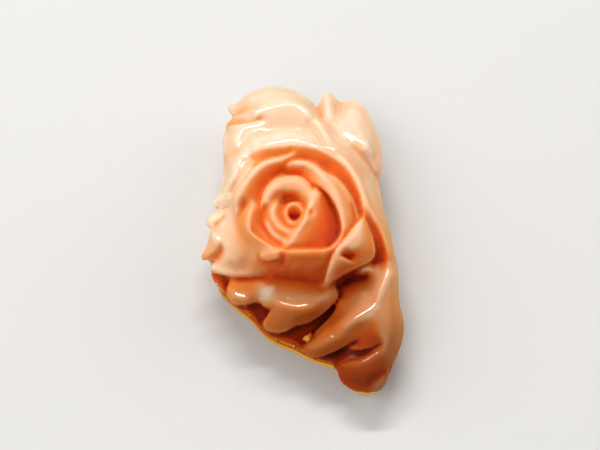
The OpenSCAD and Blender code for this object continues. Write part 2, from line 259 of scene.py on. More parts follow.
# %% The arch and the fold
guide("arch shoulder", (0.62, 0.6), [
    (268.5, 203, 13.5), (271.5, 196, 13.75), (277, 190.5, 13.95), (285, 188, 14), (293, 188.3, 13.98),
    (300, 191, 13.85), (305, 196.5, 13.65), (306.5, 203, 13.45),
])
guide("arch's inner edge", (0.42, 0.42), [
    (274.5, 199, 13.2), (280, 194.3, 13.35), (288, 192.6, 13.4), (295, 193.5, 13.35),
    (300.5, 197, 13.25), (304, 202, 13.1),
])
guide("arch crest", (0.68, 0.7), [
    (264, 203, 13.6), (266, 195, 13.85), (270.5, 187, 14.05), (277, 182, 14.15), (284, 180, 14.2),
    (293, 179.8, 14.2), (301, 182.5, 14.1), (307, 188, 13.95),
])
guide("fold crest", (0.7, 0.66), [
    (315.5, 189.5, 13.95), (312, 197, 14), (309, 204, 14), (304.5, 214, 13.95), (301.5, 220, 13.9),
    (297, 228, 13.75), (293, 236, 13.55), (288.5, 244, 13.35),
])
guide("fold's notch", (0.3, 0.34), [(310, 211, 13.68), (311, 214.5, 13.62)])
guide("fold's right side", (0.58, 0.5), [
    (320, 193, 13.9), (317.5, 200, 13.92), (315.5, 207, 13.9), (312, 219, 13.84), (307, 226, 13.74),
    (302.5, 233.5, 13.55), (298, 241, 13.35),
])
guide("fold's left foot", (0.42, 0.36), [
    (306, 199, 13.3), (305.5, 208, 13), (301.5, 219, 12.9), (297, 227, 12.9),
])
guide("full petal", (0.32, 0.27), [
    (322, 205, 13.45), (321, 216, 13.45), (315, 229, 13.3), (308, 242, 13.05),
])
guide("right groove", (0.14, 0.14), [
    (319, 189, 13.4), (325, 193.5, 13), (331, 202, 12.7), (335.5, 213, 12.4), (338, 225, 12.2),
    (338.5, 234, 12.1), (334.5, 241, 12.1), (327, 246, 12.25),
])
guide("red behind the arch", (0.25, 0.25), [
    (272, 179, 12.6), (280, 173.5, 12.4), (287, 172, 12.3), (295, 172, 12.6), (302, 173.5, 13.1),
])
edge("arch", (0.6, 0.25), [
    (312, 188, 13.75, 13.6), (308, 181.5, 13.85, 13.4), (302, 177, 13.95, 13),
    (293, 175.2, 14.05, 12.5), (283, 176, 14.05, 12.4), (274, 179, 13.95, 12.5),
    (267, 185.5, 13.85, 12.5), (262.5, 194, 13.6, 12.6), (260.5, 203, 13.3, 12.8),
    (261, 209, 12.9, 12.7),
])
cloud("fragment", (0.86, 0.86), [(270.5, 180.3), (276, 176.6), (283, 174.2)])
count_lines("arch and fold")

# %% [markdown]
# ### The petals round the bud
# Three more petals stand round the bud, with rims about 1.5 mm thick. Their far sides drop steeply,
# which a guide can't show, so each of those rims has an edge beside it.

# %% The petals round the bud
guide("right petal crest", (0.7, 0.6), [
    (293, 163.2, 13.95), (300, 162.8, 14.15), (308, 164.8, 14.25), (315, 169.5, 14.3),
    (321, 176, 14.33), (327, 183.5, 14.33), (332, 191.5, 14.3), (336, 200.5, 14.25), (339, 210, 14.15),
    (341.5, 219, 14.05), (342, 229, 13.95), (340, 238.5, 13.85),
])
guide("right petal's broad rim", (0.68, 0.6), [
    (318, 168, 14.28), (325, 174.5, 14.3), (331.5, 181.5, 14.28), (337, 189.5, 14.22),
    (341.3, 199, 14.12), (344, 209, 14), (346, 219.5, 13.88), (346, 229, 13.8),
])
guide("between the rims", (0.6, 0.44), [
    (337, 184, 13.98), (343, 192.5, 13.75), (347.8, 202, 13.45), (351.3, 213, 13.2),
    (352.5, 221, 13.05),
])
guide("second rim", (0.72, 0.66), [
    (329, 175.5, 14.05), (336.5, 180.8, 13.9), (343, 187.3, 13.7), (348.5, 194.5, 13.45),
    (352.7, 202.5, 13.15), (356, 211, 12.8),
])
guide("right petal shoulder", (0.45, 0.5), [
    (289, 167.5, 13.2), (296, 167.5, 13.6), (304, 168.5, 13.8), (310, 174, 13.85), (314, 181, 13.9),
])
guide("left petal crest", (0.7, 0.75), [
    (289, 156, 13.6), (280, 159, 13.95), (271, 161, 14.15), (262, 165, 14.2), (254.5, 171.5, 14.15),
    (248, 179.5, 14), (241, 188.5, 13.75), (236.5, 196, 13.4), (235.5, 204, 12.9), (237, 213, 12.3),
])
guide("left petal inside", (0.36, 0.4), [
    (284, 163, 13.6), (273, 167, 13.7), (264, 173, 13.65), (257, 181, 13.55), (252, 190, 13.3),
    (248.5, 201, 12.9),
])
guide("left petal foot", (0.26, 0.28), [
    (275, 176, 12.6), (266, 184, 12.5), (261, 193, 12.6), (257.5, 203, 12.6),
])
guide("lower petal crest", (0.6, 0.56), [
    (254.5, 203.5, 12.9), (249, 212, 13.25), (247, 221, 13.4), (249, 229, 13.45), (255, 236, 13.4),
    (264, 241.5, 13.35), (273, 246.5, 13.3), (281, 250.5, 13.3),
])
guide("lower petal inside", (0.34, 0.32), [
    (257, 213, 12.6), (257, 222, 12.4), (261, 231, 12.3), (268, 237.5, 12.2), (276, 243, 12.25),
])
guide("lower petal outside", (0.42, 0.62), [
    (245, 204, 12.2), (241, 213, 11.9), (239.5, 223, 11.7), (242, 234, 11.6), (248, 243.5, 11.5),
    (254.5, 250, 11.4), (256, 257, 11),
])
count_lines("petals")

# %% The petals' edges
edge("right petal's far edge", (0.6, 0.33), [
    (359, 219, 12.4, 11.2), (356.5, 209, 12.7, 11.1), (353, 199, 13, 11.3), (348, 190, 13.3, 11.4),
    (342, 182.5, 13.6, 11.5), (335, 176.3, 13.9, 11.6), (328, 173, 14.1, 11.6), (322, 169, 14.1, 11.7),
    (316, 163.8, 14.1, 11.8), (308, 160.6, 14.1, 11.9), (298, 159.8, 14, 12), (291, 161.2, 13.7, 12.6),
    (286.5, 164.5, 13.2, 13),
])
edge("right petal's near edge", (0.55, 0.2), [
    (313, 182, 13.85, 13.7), (320, 187, 14.05, 13.35), (328, 194.5, 14.15, 12.9),
    (334, 204, 14.1, 12.6), (338.2, 214, 14, 12.3), (340.7, 225, 13.9, 12.1), (341, 233, 13.85, 12),
    (337, 240.7, 13.8, 12), (331, 246, 13.7, 12.15),
])
edge("left petal's far edge", (0.72, 0.5), [
    (292, 153.5, 13.2, 12.4), (283, 156.3, 13.7, 12.1), (272, 158.3, 13.95, 12),
    (262, 161.8, 14.05, 12), (253, 168, 14.05, 12.2),
])
edge("left petal's left edge", (0.74, 0.84), [
    (253, 168, 14.05, 12.3), (246, 176, 13.9, 12.1), (238.5, 185.5, 13.55, 11.7),
    (233.5, 195, 13, 11.2), (232, 204, 12.3, 10.9), (233.5, 213, 11.7, 10.9),
])
edge("lower petal's far edge", (0.55, 0.42), [
    (284, 248.8, 13.2, 12.9), (275, 247.2, 13.2, 12.4), (266, 242.5, 13.25, 12.3),
    (257, 237, 13.3, 12.5), (251, 231, 13.35, 12.8),
])
count_lines("petals' edges")

# %% [markdown]
# ### The front of the rose
# At the near side a straight band closes the rose, with a smooth face below it and a small curl at
# its left end. On the right a petal is turned over like a page, with a red notch in it.

# %% The front of the rose
guide("front band", (0.42, 0.42), [
    (286, 251.5, 13.45), (292, 250.9, 13.52), (303, 250.9, 13.6), (316, 250.9, 13.62),
    (328, 250.3, 13.7), (335, 247, 13.75),
])
guide("front band's near side", (0.3, 0.3), [
    (287, 256.5, 13.15), (300, 257, 13.25), (315, 257, 13.25), (326, 256.5, 13.25),
])
guide("front band's underside", (0.34, 0.34), [
    (287, 263, 12.2), (300, 263.8, 12.3), (315, 263.8, 12.3), (325, 263, 12.3),
])
guide("front face", (0.27, 0.24), [(272, 268, 10.7), (285, 270, 10.9), (300, 271, 11), (314, 272, 10.9)])
guide("front foot", (0.2, 0.16), [
    (262, 273.5, 9.1), (272, 275.5, 9.2), (284, 277.5, 9.15), (296, 279.3, 9.1), (308, 281, 9.05),
    (319, 283, 9),
])
guide("curl crest", (0.6, 0.55), [
    (260.5, 256.5, 12.6), (264.5, 253.8, 13), (270, 252.3, 13.25), (276.5, 252.5, 13.35),
])
guide("curl's right groove", (0.3, 0.2), [(282.7, 253.5, 13), (283, 258, 12.4), (282.5, 263, 11.6)])
edge("front band's far edge", (0.42, 0.25), [
    (332, 246.3, 13.7, 12.1), (327, 247.8, 13.65, 12.15), (317, 248.3, 13.6, 12.3),
    (305, 248.3, 13.55, 12.6), (293, 248.8, 13.4, 12.8), (285, 249.6, 13.3, 13),
])
edge("curl's near edge", (0.42, 0.26), [
    (258.5, 255, 12.3, 11.3), (260, 259.3, 12.4, 11.2), (266, 261.3, 12.7, 11.5),
    (273, 260.7, 12.95, 11.8), (279.5, 258.5, 13.1, 12.3),
])
count_lines("front")

# %% The turned petal
guide("turned petal ridge", (0.74, 0.58), [
    (360, 222, 13.2), (353.5, 232, 13.75), (347, 242, 13.9), (341, 251, 13.7), (336, 260, 13.2),
    (332, 269, 12.5), (327.5, 278, 11.5),
])
guide("pale triangle", (0.78, 0.72), [
    (362, 224.5, 13.15), (360.5, 234, 13.5), (357, 243, 13.5), (351, 248, 13.5),
])
guide("turned petal's bulge", (0.54, 0.26), [
    (364.5, 225, 12.8), (367.5, 236, 12.6), (368.5, 247, 12.3), (365, 256, 12), (356, 262.5, 11.8),
    (347, 268, 11.4), (338, 274, 11),
])
guide("red notch", (0.14, 0.14), [(343.5, 254, 12.6), (349, 255.3, 12.2), (355, 253.5, 12.5)])
edge("turned petal's far edge", (0.66, 0.24), [
    (363, 216.7, 12.6, 11.3), (358, 221.3, 13.1, 11.8), (352.5, 228, 13.5, 12.8),
    (347, 235, 13.75, 13.4), (341, 242.3, 13.75, 13.5), (335.5, 249.5, 13.6, 13.45),
    (331.5, 258, 13.2, 12.7), (328.3, 267, 12.5, 11.2), (325.5, 276, 11.5, 10),
    (324, 283.5, 10.6, 9.2),
])
edge("bulge's near edge", (0.5, 0.16), [
    (331, 284.5, 10.3, 8.2), (337.5, 279, 10.3, 7), (346, 273.8, 10.4, 7.2), (356, 269, 10.6, 8),
    (366, 264.5, 10.8, 9), (373.5, 259, 11, 8.7), (376, 251, 11.4, 9.2), (374.3, 241, 11.9, 9.8),
    (370, 229, 12.2, 10.3), (364.5, 218, 12.5, 11.4),
])
edge("notch", (0.6, 0.14), [(352, 262.5, 12.6, 12.1), (346.5, 259.5, 13.1, 12.5), (341, 256, 13.4, 13)])
count_lines("turned petal")

# %% [markdown]
# ### The cup round the rose
# A broad leaf makes a cup round the far side of the rose and runs down along the right flank. Its
# crest is pale and its inner side orange, with a clear line between the two, so two clouds follow
# that line. Two more are painted shade, darker beside the cup and low on the flank.

# %% The cup round the rose
guide("cup shoulder", (0.6, 0.28), [
    (252, 154, 12.4), (262, 150.8, 12.7), (275, 148.6, 12.95), (290, 147.4, 13), (303, 148, 13),
    (315, 150.5, 12.9), (326, 155, 12.8), (336, 161.5, 12.65), (345, 170, 12.45), (352, 181, 12.2),
    (357.5, 193, 12), (361, 205, 11.8), (361.5, 213, 11.5),
])
guide("cup crest", (0.95, 0.55), [
    (254, 149.5, 12.45), (261, 146, 12.85), (268, 143.3, 13.08), (280, 140.6, 13.18),
    (290, 139.7, 13.22), (302, 140.7, 13.18), (313, 143.8, 13.12), (324, 148.2, 13.08),
    (334, 153.5, 13.05), (344, 160, 12.95), (351, 168, 12.8), (357, 177.5, 12.6), (362, 188, 12.4),
    (366, 199, 12.1), (371, 209, 11.7), (376, 218, 11.3), (381, 228, 10.8), (386, 238, 10.2),
    (390, 248, 9.6), (392.5, 257, 9.1),
])
guide("cup crest's near side", (0.97, 0.97), [
    (270, 145.7, 13.08), (280, 143.2, 13.18), (290, 142.2, 13.22), (301, 143.2, 13.19),
    (311, 146, 13.12),
])
guide("cup crest's far side", (0.98, 0.98), [
    (260, 142.5, 12.5), (269, 139.3, 12.85), (280, 137, 12.9), (290, 136, 12.92), (302, 137, 12.9),
    (311, 139.8, 12.8),
])
guide("right side", (0.9, 0.5), [
    (367, 184, 11.4), (373, 198, 10.6), (379, 212, 9.7), (386, 228, 8.9), (392, 246, 8.2),
])
guide("right channel", (0.44, 0.2), [
    (365.5, 216, 11.3), (370.5, 225, 10.4), (376, 236, 9.8), (380, 246, 9.3), (383, 254, 8.9),
])
guide("second hollow", (0.14, 0.14), [(373, 263.5, 8.5), (378, 264, 8.3), (383, 260, 8.6)])
guide("pale nub", (0.85, 0.85), [(361, 271, 8.6), (366.5, 268.5, 9.2), (372, 270.5, 8.7)])
# painted shade: the hollow under the turned petal is painted nearly black
guide("dark hollow", (0.02, 0.1), [
    (340, 287, 6.5), (347, 281.5, 6.3), (357, 277, 6.6), (368, 274.8, 7.5),
])
cloud("cup's pale side", (0.93, 0.8), [
    (248, 155), (253, 150.5), (262, 148), (275, 146), (290, 145), (305, 145.5), (318, 149), (330, 155),
    (340, 161.5), (349, 170), (356, 181), (361.5, 193), (364.5, 205),
])
cloud("cup's orange side", (0.58, 0.24), [
    (252, 156.5), (258, 153.5), (268, 151.5), (280, 150), (295, 149.7), (308, 151.5), (320, 156),
    (330, 162), (340, 171), (348, 182), (353.5, 193), (357, 205), (358, 213),
])
# painted shade beside the cup and low on the right flank
cloud("shade beside the cup", (0.3, 0.15), [(347, 188), (351, 198), (353, 208), (353, 217)])
cloud("painted shade low on the right flank", (0.45, 0.2), [(377, 222), (380.5, 235), (383, 248), (385, 262)])
count_lines("cup")

# %% [markdown]
# ### The leaves at the far end
# One rounded leaf fills the far left, and two narrower ones the far right, with a wedge between them
# and the cup. The lamp is mirrored where a crest is level for a little way, so the main crests have a
# second guide beside the first at nearly the same height.

# %% The back leaf
guide("leaf hollow", (0.88, 0.88), [
    (252, 139, 11.6), (261, 135.5, 11.6), (274, 131.8, 11.55), (288, 130.6, 11.55),
    (300, 131.8, 11.55), (307, 135, 11.7),
])
guide("hollow's far rise", (0.97, 0.97), [
    (262, 140, 12.15), (275, 135.3, 12.1), (288, 134, 12.1), (300, 135.3, 12.1),
])
guide("leaf's near slope", (0.88, 0.9), [
    (268, 117, 11.9), (277, 114.3, 12.02), (288, 113.5, 12.05), (298, 115, 11.98), (305, 119, 11.78),
])
guide("leaf's middle", (0.86, 0.88), [
    (270, 122.5, 11.72), (278, 120.5, 11.78), (289, 119.5, 11.8), (300, 122, 11.72),
])
guide("back leaf crest", (0.93, 0.93), [
    (254, 112.5, 11.85), (261, 108.8, 12.02), (270, 105.3, 12.12), (279, 103, 12.16),
    (288, 102.2, 12.17), (296, 103.6, 12.15), (303, 107, 12.07), (309.5, 112, 11.9), (315, 120, 11.4),
])
guide("back leaf crest's shelf", (0.92, 0.92), [
    (256, 114.7, 11.89), (262, 111.8, 12.04), (270, 108.7, 12.14), (279, 106.6, 12.19),
    (288, 106, 12.2), (296, 107.2, 12.18), (303, 110.4, 12.1),
])
guide("back leaf fall", (1, 1), [
    (250, 98, 9), (262, 93.5, 9.3), (277, 92, 9.4), (290, 94, 9.4), (302, 99.5, 9.4),
])
guide("far inner petal", (0.9, 0.85), [
    (317.5, 118.5, 11.3), (321.5, 125, 11.9), (325.5, 133, 12.4), (330, 140.5, 12.75),
    (337, 148, 12.95),
])
guide("wedge's right valley", (0.85, 0.85), [
    (328.5, 121, 10.2), (334, 130, 10.4), (340.5, 139, 10.8), (348, 147, 11.2),
])
guide("wedge's left valley", (0.84, 0.8), [(312.5, 127, 11.2), (315, 134, 11.6), (319.5, 141, 12.3)])
# a pale patch of painted highlight at the left end of the cup's crest
cloud("painted highlight cloud", (1, 1), [(256, 143), (262, 138), (268, 136)])
count_lines("back leaf")

# %% The two far leaves
guide("leaf gap", (0.6, 0.7), [(317.8, 108, 8.3), (318.8, 114, 9.6), (319.5, 120, 10.4)])
guide("narrow leaf ridge", (0.92, 0.9), [
    (327.5, 95, 7.3), (327.5, 104, 8.9), (328, 113, 10), (329.5, 119, 10.4),
])
guide("leaf groove", (0.72, 0.8), [(340, 103.5, 6.9), (340, 108.5, 7.7), (340.3, 114, 8.8)])
guide("broad leaf crest", (0.95, 0.9), [
    (340, 130.5, 10.5), (348, 133.3, 10.57), (356, 136.8, 10.58), (363, 141, 10.54), (368, 145, 10.46),
    (373, 154, 9.4),
])
guide("broad leaf's near slope", (0.88, 0.8), [
    (346, 137.3, 10.56), (354, 140.8, 10.575), (361, 145.3, 10.53), (366, 149.3, 10.43),
    (370, 158, 9.5), (375, 172, 8.3),
])
guide("broad leaf fall", (0.95, 0.85), [
    (349, 110, 8.4), (358, 113.5, 8.4), (367, 126, 8.5), (373, 141, 8.4), (376.5, 157, 8),
])
guide("broad leaf's far slope", (0.95, 0.95), [
    (345, 122.5, 10.2), (354, 126.5, 10.2), (362, 133, 10.05), (369, 140.5, 9.6),
])
edge("far leaf's edge", (0.8, 0.72), [
    (379, 182.3, 7.1, 6.6), (375.3, 177, 8.2, 7.5), (368.5, 167, 9.4, 8.6), (360.5, 157, 10.4, 9.6),
    (352, 149, 11.2, 10.3),
])
count_lines("far leaves")

# %% [markdown]
# ### The left side
# The leaves on the left curl over each other and end in teeth: a long one beside the rose, a small
# one below it, and one that is turned up. Below the teeth is the rose's outermost petal.

# %% The corner and its folds
guide("corner ridge", (0.95, 0.95), [
    (262, 122, 11.5), (256, 123.8, 11.3), (250, 125.4, 11.15), (243, 127.8, 10.95), (238, 132, 10.8),
    (235, 139, 10.75), (236.5, 146.5, 10.75),
])
guide("corner hollow", (0.88, 0.88), [
    (262, 130, 11.42), (252, 132.5, 11.08), (246, 136.5, 10.82), (243.3, 142, 10.77),
    (245.5, 147.5, 11.08),
])
guide("fold valley", (0.62, 0.85), [
    (237.5, 113.5, 8.2), (243, 110.8, 8.9), (249, 108, 9.8), (256, 106.5, 10.8),
])
guide("second fold valley", (0.55, 0.85), [
    (233, 122, 7.8), (241, 121, 8.9), (248.5, 120.7, 10.2), (255.5, 119.8, 11.25),
])
guide("fold ridge", (0.85, 0.9), [(234, 117.5, 7.9), (242, 115.8, 9.3), (250, 114.5, 10.4)])
guide("nub ridge", (0.9, 0.8), [(229, 105.5, 6.8), (234, 108.3, 7.3), (238.5, 110.3, 8)])
guide("left slope", (0.97, 0.95), [(228.5, 138, 8.5), (228.5, 150, 8.5)])
guide("corner groove", (0.75, 0.85), [
    (239, 151, 10.85), (235, 154, 10.35), (230, 158, 9.3), (226, 162, 8),
])
edge("corner's far edge", (0.9, 0.6), [
    (262, 119.5, 11.45, 11.42), (255, 121.3, 11.2, 11.05), (247, 123, 10.95, 10.1),
    (239, 124.3, 10.6, 9), (232, 125.5, 9.7, 8.2), (227, 127.5, 8, 7.1),
])
count_lines("corner")

# %% The teeth
guide("long tooth ridge", (0.98, 0.98), [
    (250, 152, 11.95), (246, 153.3, 11.85), (242.5, 154.8, 11.82), (240, 158, 11.8),
    (237.5, 164, 11.76), (235, 171, 11.7), (233, 178, 11.5), (230, 185, 10.5), (224, 193, 8.6),
    (217, 201, 7),
])
guide("long tooth's right", (0.8, 0.75), [
    (250, 158, 11.9), (246, 159, 11.86), (242.8, 162, 11.82), (240, 169, 11.76), (238.2, 177, 11.5),
    (236, 184.5, 10.9), (232, 194, 9.9),
])
guide("small tooth ridge", (1, 0.85), [
    (207.5, 221.5, 7.5), (211, 217.8, 7.65), (215, 215.5, 7.75), (220, 213.3, 7.85), (225, 210.8, 8.3),
    (230, 209, 9.2),
])
guide("turned tooth ridge", (0.9, 0.55), [
    (212, 231, 8.2), (215.2, 234.5, 8.85), (217.2, 239, 8.98), (218.5, 244, 8.92), (215.5, 250, 8),
    (209.5, 253.3, 7.3), (203, 256.7, 6.6),
])
guide("turned tooth's left", (0.85, 0.7), [(211.8, 235, 8.6), (212.8, 240, 8.65), (213, 245, 8.4)])
guide("pocket", (0.45, 0.4), [(221.5, 247, 8.2), (219.5, 252.5, 7.5), (213, 257.3, 6.7)])
edge("tooth's near edge", (0.88, 0.72), [
    (222, 208, 7.6, 7.1), (227, 205.3, 8.6, 8.2), (231, 202.8, 9.2, 9.1),
])
edge("small tooth's near edge", (0.95, 0.66), [
    (211.5, 227.8, 7.4, 6.9), (215, 224, 7.6, 7), (218.5, 219.7, 7.75, 7.3), (223, 215.8, 8, 7.9),
])
count_lines("teeth")

# %% The outermost petal
guide("left petal's face", (0.84, 0.74), [
    (232, 214, 10.7), (232, 230, 10.5), (233, 246, 10.3), (236, 259, 9.8),
])
guide("left petal's edge", (0.9, 0.8), [
    (222, 222, 8.9), (222.5, 236, 9.1), (224, 245, 9), (226, 253, 8.9), (223, 261, 8.2),
])
guide("left petal's rim", (0.92, 0.5), [
    (212.5, 267.5, 7.15), (222, 272, 7.5), (234, 274.3, 8), (246, 274.3, 8.55), (255, 272, 9.15),
    (263, 268.5, 10),
])
guide("above the rim", (0.82, 0.62), [(222, 267, 7.75), (235, 268.5, 8.25), (247, 268, 8.95)])
edge("left petal's near edge", (0.62, 0.2), [
    (211, 272, 6.7, 5.2), (220, 275, 7, 4.8), (231, 277.2, 7.35, 5.4), (236, 277.6, 7.5, 6.7),
    (245, 277.8, 7.9, 7.1), (255, 276.6, 8.4, 7.6), (265, 274.8, 8.8, 8.3),
])
count_lines("outermost petal")

# %% [markdown]
# ### The leaves at the near end
# A leaf with two lobes lies under the front of the rose, with a pale cloud painted between its
# lobes. To its right the end leaf rises to a ridge that forks, and its last fold is a small dark cup.
# Between them the block is cut down to the frame.

# %% The front leaf
guide("left lobe's root", (0.3, 0.26), [
    (238, 281, 7.15), (250, 281.5, 7.75), (262, 281, 8.5), (275, 284, 8.75),
])
guide("left lobe's flat", (0.54, 0.54), [
    (231, 290, 7), (237, 293, 7.2), (246, 295, 7.25), (255, 295.5, 7.4),
])
guide("left lobe's near part", (0.5, 0.5), [(232.5, 296.5, 7.06), (239, 299, 7.25), (247, 300, 7.27)])
guide("leaf's hollow", (0.5, 0.3), [
    (275, 288.5, 8.5), (290, 289.5, 8.65), (308, 290.5, 8.6), (324, 289.5, 8.25),
])
guide("leaf's crease", (0.7, 0.66), [
    (268, 296.5, 8.15), (275, 297.5, 8.4), (285, 298.5, 8.55), (300, 299.5, 8.6), (315, 298.7, 8.45),
    (327, 295.5, 8.05), (334.5, 291, 7.6),
])
guide("leaf's lip", (0.56, 0.46), [
    (277, 303, 8.56), (286, 304.6, 8.74), (296, 306, 8.77), (306, 307, 8.7), (316, 306, 8.3),
])
guide("below the lip", (0.42, 0.36), [
    (281, 307.5, 8.5), (290, 308.6, 8.74), (300, 309.6, 8.74), (310, 310.5, 8.4),
])
edge("front leaf's near edge", (0.42, 0.1), [
    (232, 278.5, 6.9, 4.8), (228.5, 283, 6.7, 4.6), (226.5, 289, 6.5, 4.2), (227.3, 295, 6.35, 4.1),
    (230.3, 300.5, 6.2, 4.1), (235.5, 304.5, 6.1, 4.2), (242, 305.7, 6.1, 4.3), (250, 304.4, 6.2, 4.4),
    (257, 302.2, 6.5, 4.6), (260, 302.8, 6.5, 4.6), (263, 306.8, 6.4, 4.6), (267, 308.3, 6.4, 4.6),
    (271, 309.3, 6.5, 4.6), (269, 313, 6.3, 4.6), (265, 318.5, 5.8, 4.5), (262.3, 323, 5.5, 4.2),
    (265, 328.5, 5.3, 4), (272, 332.5, 5.2, 4), (280, 333, 5.2, 4.1), (287, 331.3, 5.3, 4.2),
    (293, 327.7, 5.5, 4.3), (298, 325.5, 5.6, 4.4), (306, 324.5, 5.7, 4.2), (312, 321.5, 5.8, 4.1),
    (320, 316.3, 6, 4.1), (328, 310, 6.3, 4.3), (334, 303.5, 6.6, 4.7), (338.3, 296.5, 6.9, 5.2),
    (338, 291, 7.2, 5.7), (335, 285.5, 7.5, 6.3),
])
cloud("leaf cloud", (1, 0.95), [(267, 288), (263, 294), (261, 300)])
cloud("leaf cloud's side", (0.95, 0.9), [(273, 287), (270, 293), (268, 299)])
count_lines("front leaf")

# %% The end leaf
guide("end ridge", (0.7, 0.72), [
    (391, 263, 9.15), (388, 272, 9.15), (384, 284, 9.05), (380.5, 295, 8.92), (377.5, 304, 8.78),
    (375, 310, 8.66),
])
guide("end ridge's left", (0.7, 0.56), [(381, 272, 8.6), (376, 286, 8.5), (370.5, 299, 8.25)])
guide("end ridge's right", (0.68, 0.66), [
    (394.5, 272, 8.7), (390, 286, 8.62), (386, 299, 8.45), (383, 311, 8.3),
])
guide("left branch", (0.72, 0.56), [
    (375, 310, 8.66), (367, 313.5, 8.5), (358, 319, 8.3), (350, 322.8, 8.05), (344, 326.5, 7.75),
])
guide("nose crest", (0.5, 0.44), [
    (344, 332, 7.3), (335, 336.5, 6.95), (328, 340, 6.7), (318, 344.5, 5.95), (310, 348.5, 5.2),
])
guide("right branch", (0.64, 0.56), [
    (376, 311, 8.6), (379, 319, 8.35), (381.5, 328, 8.05), (383.7, 337, 7.7), (384.7, 345, 7.3),
    (384, 353, 6.8),
])
guide("end leaf's slope", (0.42, 0.66), [(345, 300, 6.9), (353, 300, 7.4), (363, 293, 8)])
guide("end leaf's low slope", (0.3, 0.3), [(330, 325, 6.1), (340, 315, 6.8)])
guide("between branches", (0.36, 0.36), [(357, 330, 7.3), (366, 326, 7.7), (374, 325, 8)])
guide("end right", (0.62, 0.44), [
    (393, 285, 7.9), (393, 302, 7.7), (396, 320, 7.3), (396.5, 335, 6.8), (393, 349, 6.2),
    (388, 360, 5.7),
])
edge("end leaf's far edge", (0.32, 0.06), [
    (339, 300, 6.6, 4.9), (335, 309, 6.2, 4.3), (328, 318.5, 5.8, 4), (320, 326.5, 5.4, 3.9),
    (314, 333, 5.1, 3.9), (309, 339.5, 4.9, 3.9), (304.5, 345, 4.7, 3.9),
])
edge("nose's near edge", (0.3, 0.06), [
    (304.5, 353.5, 4.4, 3.8), (308.5, 356.3, 4.6, 3.8), (316, 357.3, 4.9, 3.8), (325, 355.6, 5.2, 3.9),
    (334, 352.3, 5.6, 4.1), (341.5, 348.7, 5.9, 4.5), (349, 344, 6.3, 5.3), (356.5, 339.5, 6.7, 6.6),
])
cloud("fork cloud", (0.9, 0.76), [(378, 307), (371, 312), (363, 316)])
cloud("right branch's line", (0.6, 0.55), [(380, 322), (383.5, 334), (385, 348)])
count_lines("end leaf")

# %% The end leaf's cup
guide("fold's dip", (0.2, 0.2), [(360, 342, 6.5), (368, 340, 6.9), (376, 336, 7.5)])
# painted shade: the recess under the fold is painted dark
guide("recess", (0.1, 0.14), [
    (339, 357, 4.5), (346, 353.5, 4.9), (353, 353.3, 5.2), (361, 354.2, 5.35), (368, 352, 5.7),
])
guide("cup lip crest", (0.26, 0.32), [
    (345, 363.3, 5.3), (352, 362, 5.75), (360, 360.3, 6.1), (368, 357.2, 6.4), (376, 352.8, 6.65),
])
guide("cup face", (0.24, 0.27), [(347, 372, 5), (358, 374, 5.5), (370, 371, 5.8), (380, 364, 6)])
guide("lip line", (0.2, 0.18), [(388.5, 370.3, 5), (381, 376.5, 5), (374, 381, 4.8), (368.5, 386, 4.45)])
guide("lip", (0.58, 0.66), [(385.5, 377.5, 5), (380, 384, 4.75), (374, 388.3, 4.4)])
edge("fold's near edge", (0.24, 0.1), [
    (350, 348.5, 5.9, 5.3), (356, 350.2, 6.1, 5.4), (364, 349.8, 6.3, 5.4), (372, 347.3, 6.6, 5.8),
    (380, 343, 7, 6.7),
])
edge("cup lip's far edge", (0.24, 0.1), [
    (373, 351.8, 6.5, 6.2), (366, 355.7, 6.2, 5.6), (358, 358.6, 5.9, 5.25), (350, 360.5, 5.5, 5),
    (343, 362.5, 5, 4.6),
])
count_lines("end cup")

# %% [markdown]
# ## From lines to curves
# The lines have only the points that their shape needs. A curve through them rounds the stretches
# between: each stretch leaves a point in the direction from the point before to the point after.
# Blender's own curves could do it, but here only the places along them are wanted, and no object.

# %% Soft curves
# a curve has a point about every so many places of the drawing
CURVE_STEP = 0.7


def soft_curve(line):
    """Points close together on a soft curve through the points of a line, with whatever else each has."""
    held = np.array(line, float)
    ends = np.vstack([2 * held[0] - held[1], held, 2 * held[-1] - held[-2]])
    stretches = []
    for before, start, end, after in zip(ends, ends[1:], ends[2:], ends[3:]):
        steps = max(2, int(np.hypot(*(end - start)[:2]) / CURVE_STEP))
        gone = np.arange(steps)[:, None] / steps
        leave = (end - before) / 2
        turn = (2 * before - 5 * start + 4 * end - after) / 2
        arrive = (3 * start - before - 3 * end + after) / 2
        stretches.append(start + gone * (leave + gone * (turn + gone * arrive)))
    return np.vstack([*stretches, held[-1:]])


outline_curve = soft_curve([*OUTLINE, OUTLINE[0]])
print("curve round the outline:", len(outline_curve), "points")

# %% [markdown]
# ## A sheet that the lines hold
# Think of a thin springy sheet laid over the drawing. The guides hold it at their heights, and between
# them it bends as little as it can, which is how a well-cut surface runs from a ridge to a valley.
# A little tension keeps it from swinging past them. A second sheet carries the tones, with more of it.
# Along an edge the sheet is cut, so each side goes its own way. That gives crisp rims for free.
# The sheet has a knot at every whole place of the drawing. Its shape is found by the method of
# conjugate gradients: first with few knots, then with twice as many each way, until all are there.

# %% Where the sheet is cut
# the far left corner of the sheet in the drawing, and its size
CORNER = np.array([196, 80])
WIDE, TALL = 216, 320


def cut_where_crossed(links, path):
    """Rows of links lie at the whole values of y. Each that the path crosses becomes 0."""
    for (x0, y0), (x1, y1) in zip(path, path[1:]):
        for row in range(math.ceil(min(y0, y1)), math.floor(max(y0, y1)) + 1):
            if y0 != y1:
                links[row, int(x0 + (x1 - x0) * (row - y0) / (y1 - y0))] = 0


def cut_links(step):
    """1 for each link between neighbouring knots that holds, and 0 where an edge crosses it."""
    across = np.ones((TALL // step + 1, WIDE // step))
    down = np.ones((TALL // step, WIDE // step + 1))
    for _, line in edges.values():
        path = (soft_curve(line)[:, :2] - CORNER) / step
        cut_where_crossed(across, path)
        cut_where_crossed(down.T, path[:, ::-1])
    return across, down


across, down = cut_links(1)
print("cut links:", int((across == 0).sum() + (down == 0).sum()), "of", across.size + down.size)

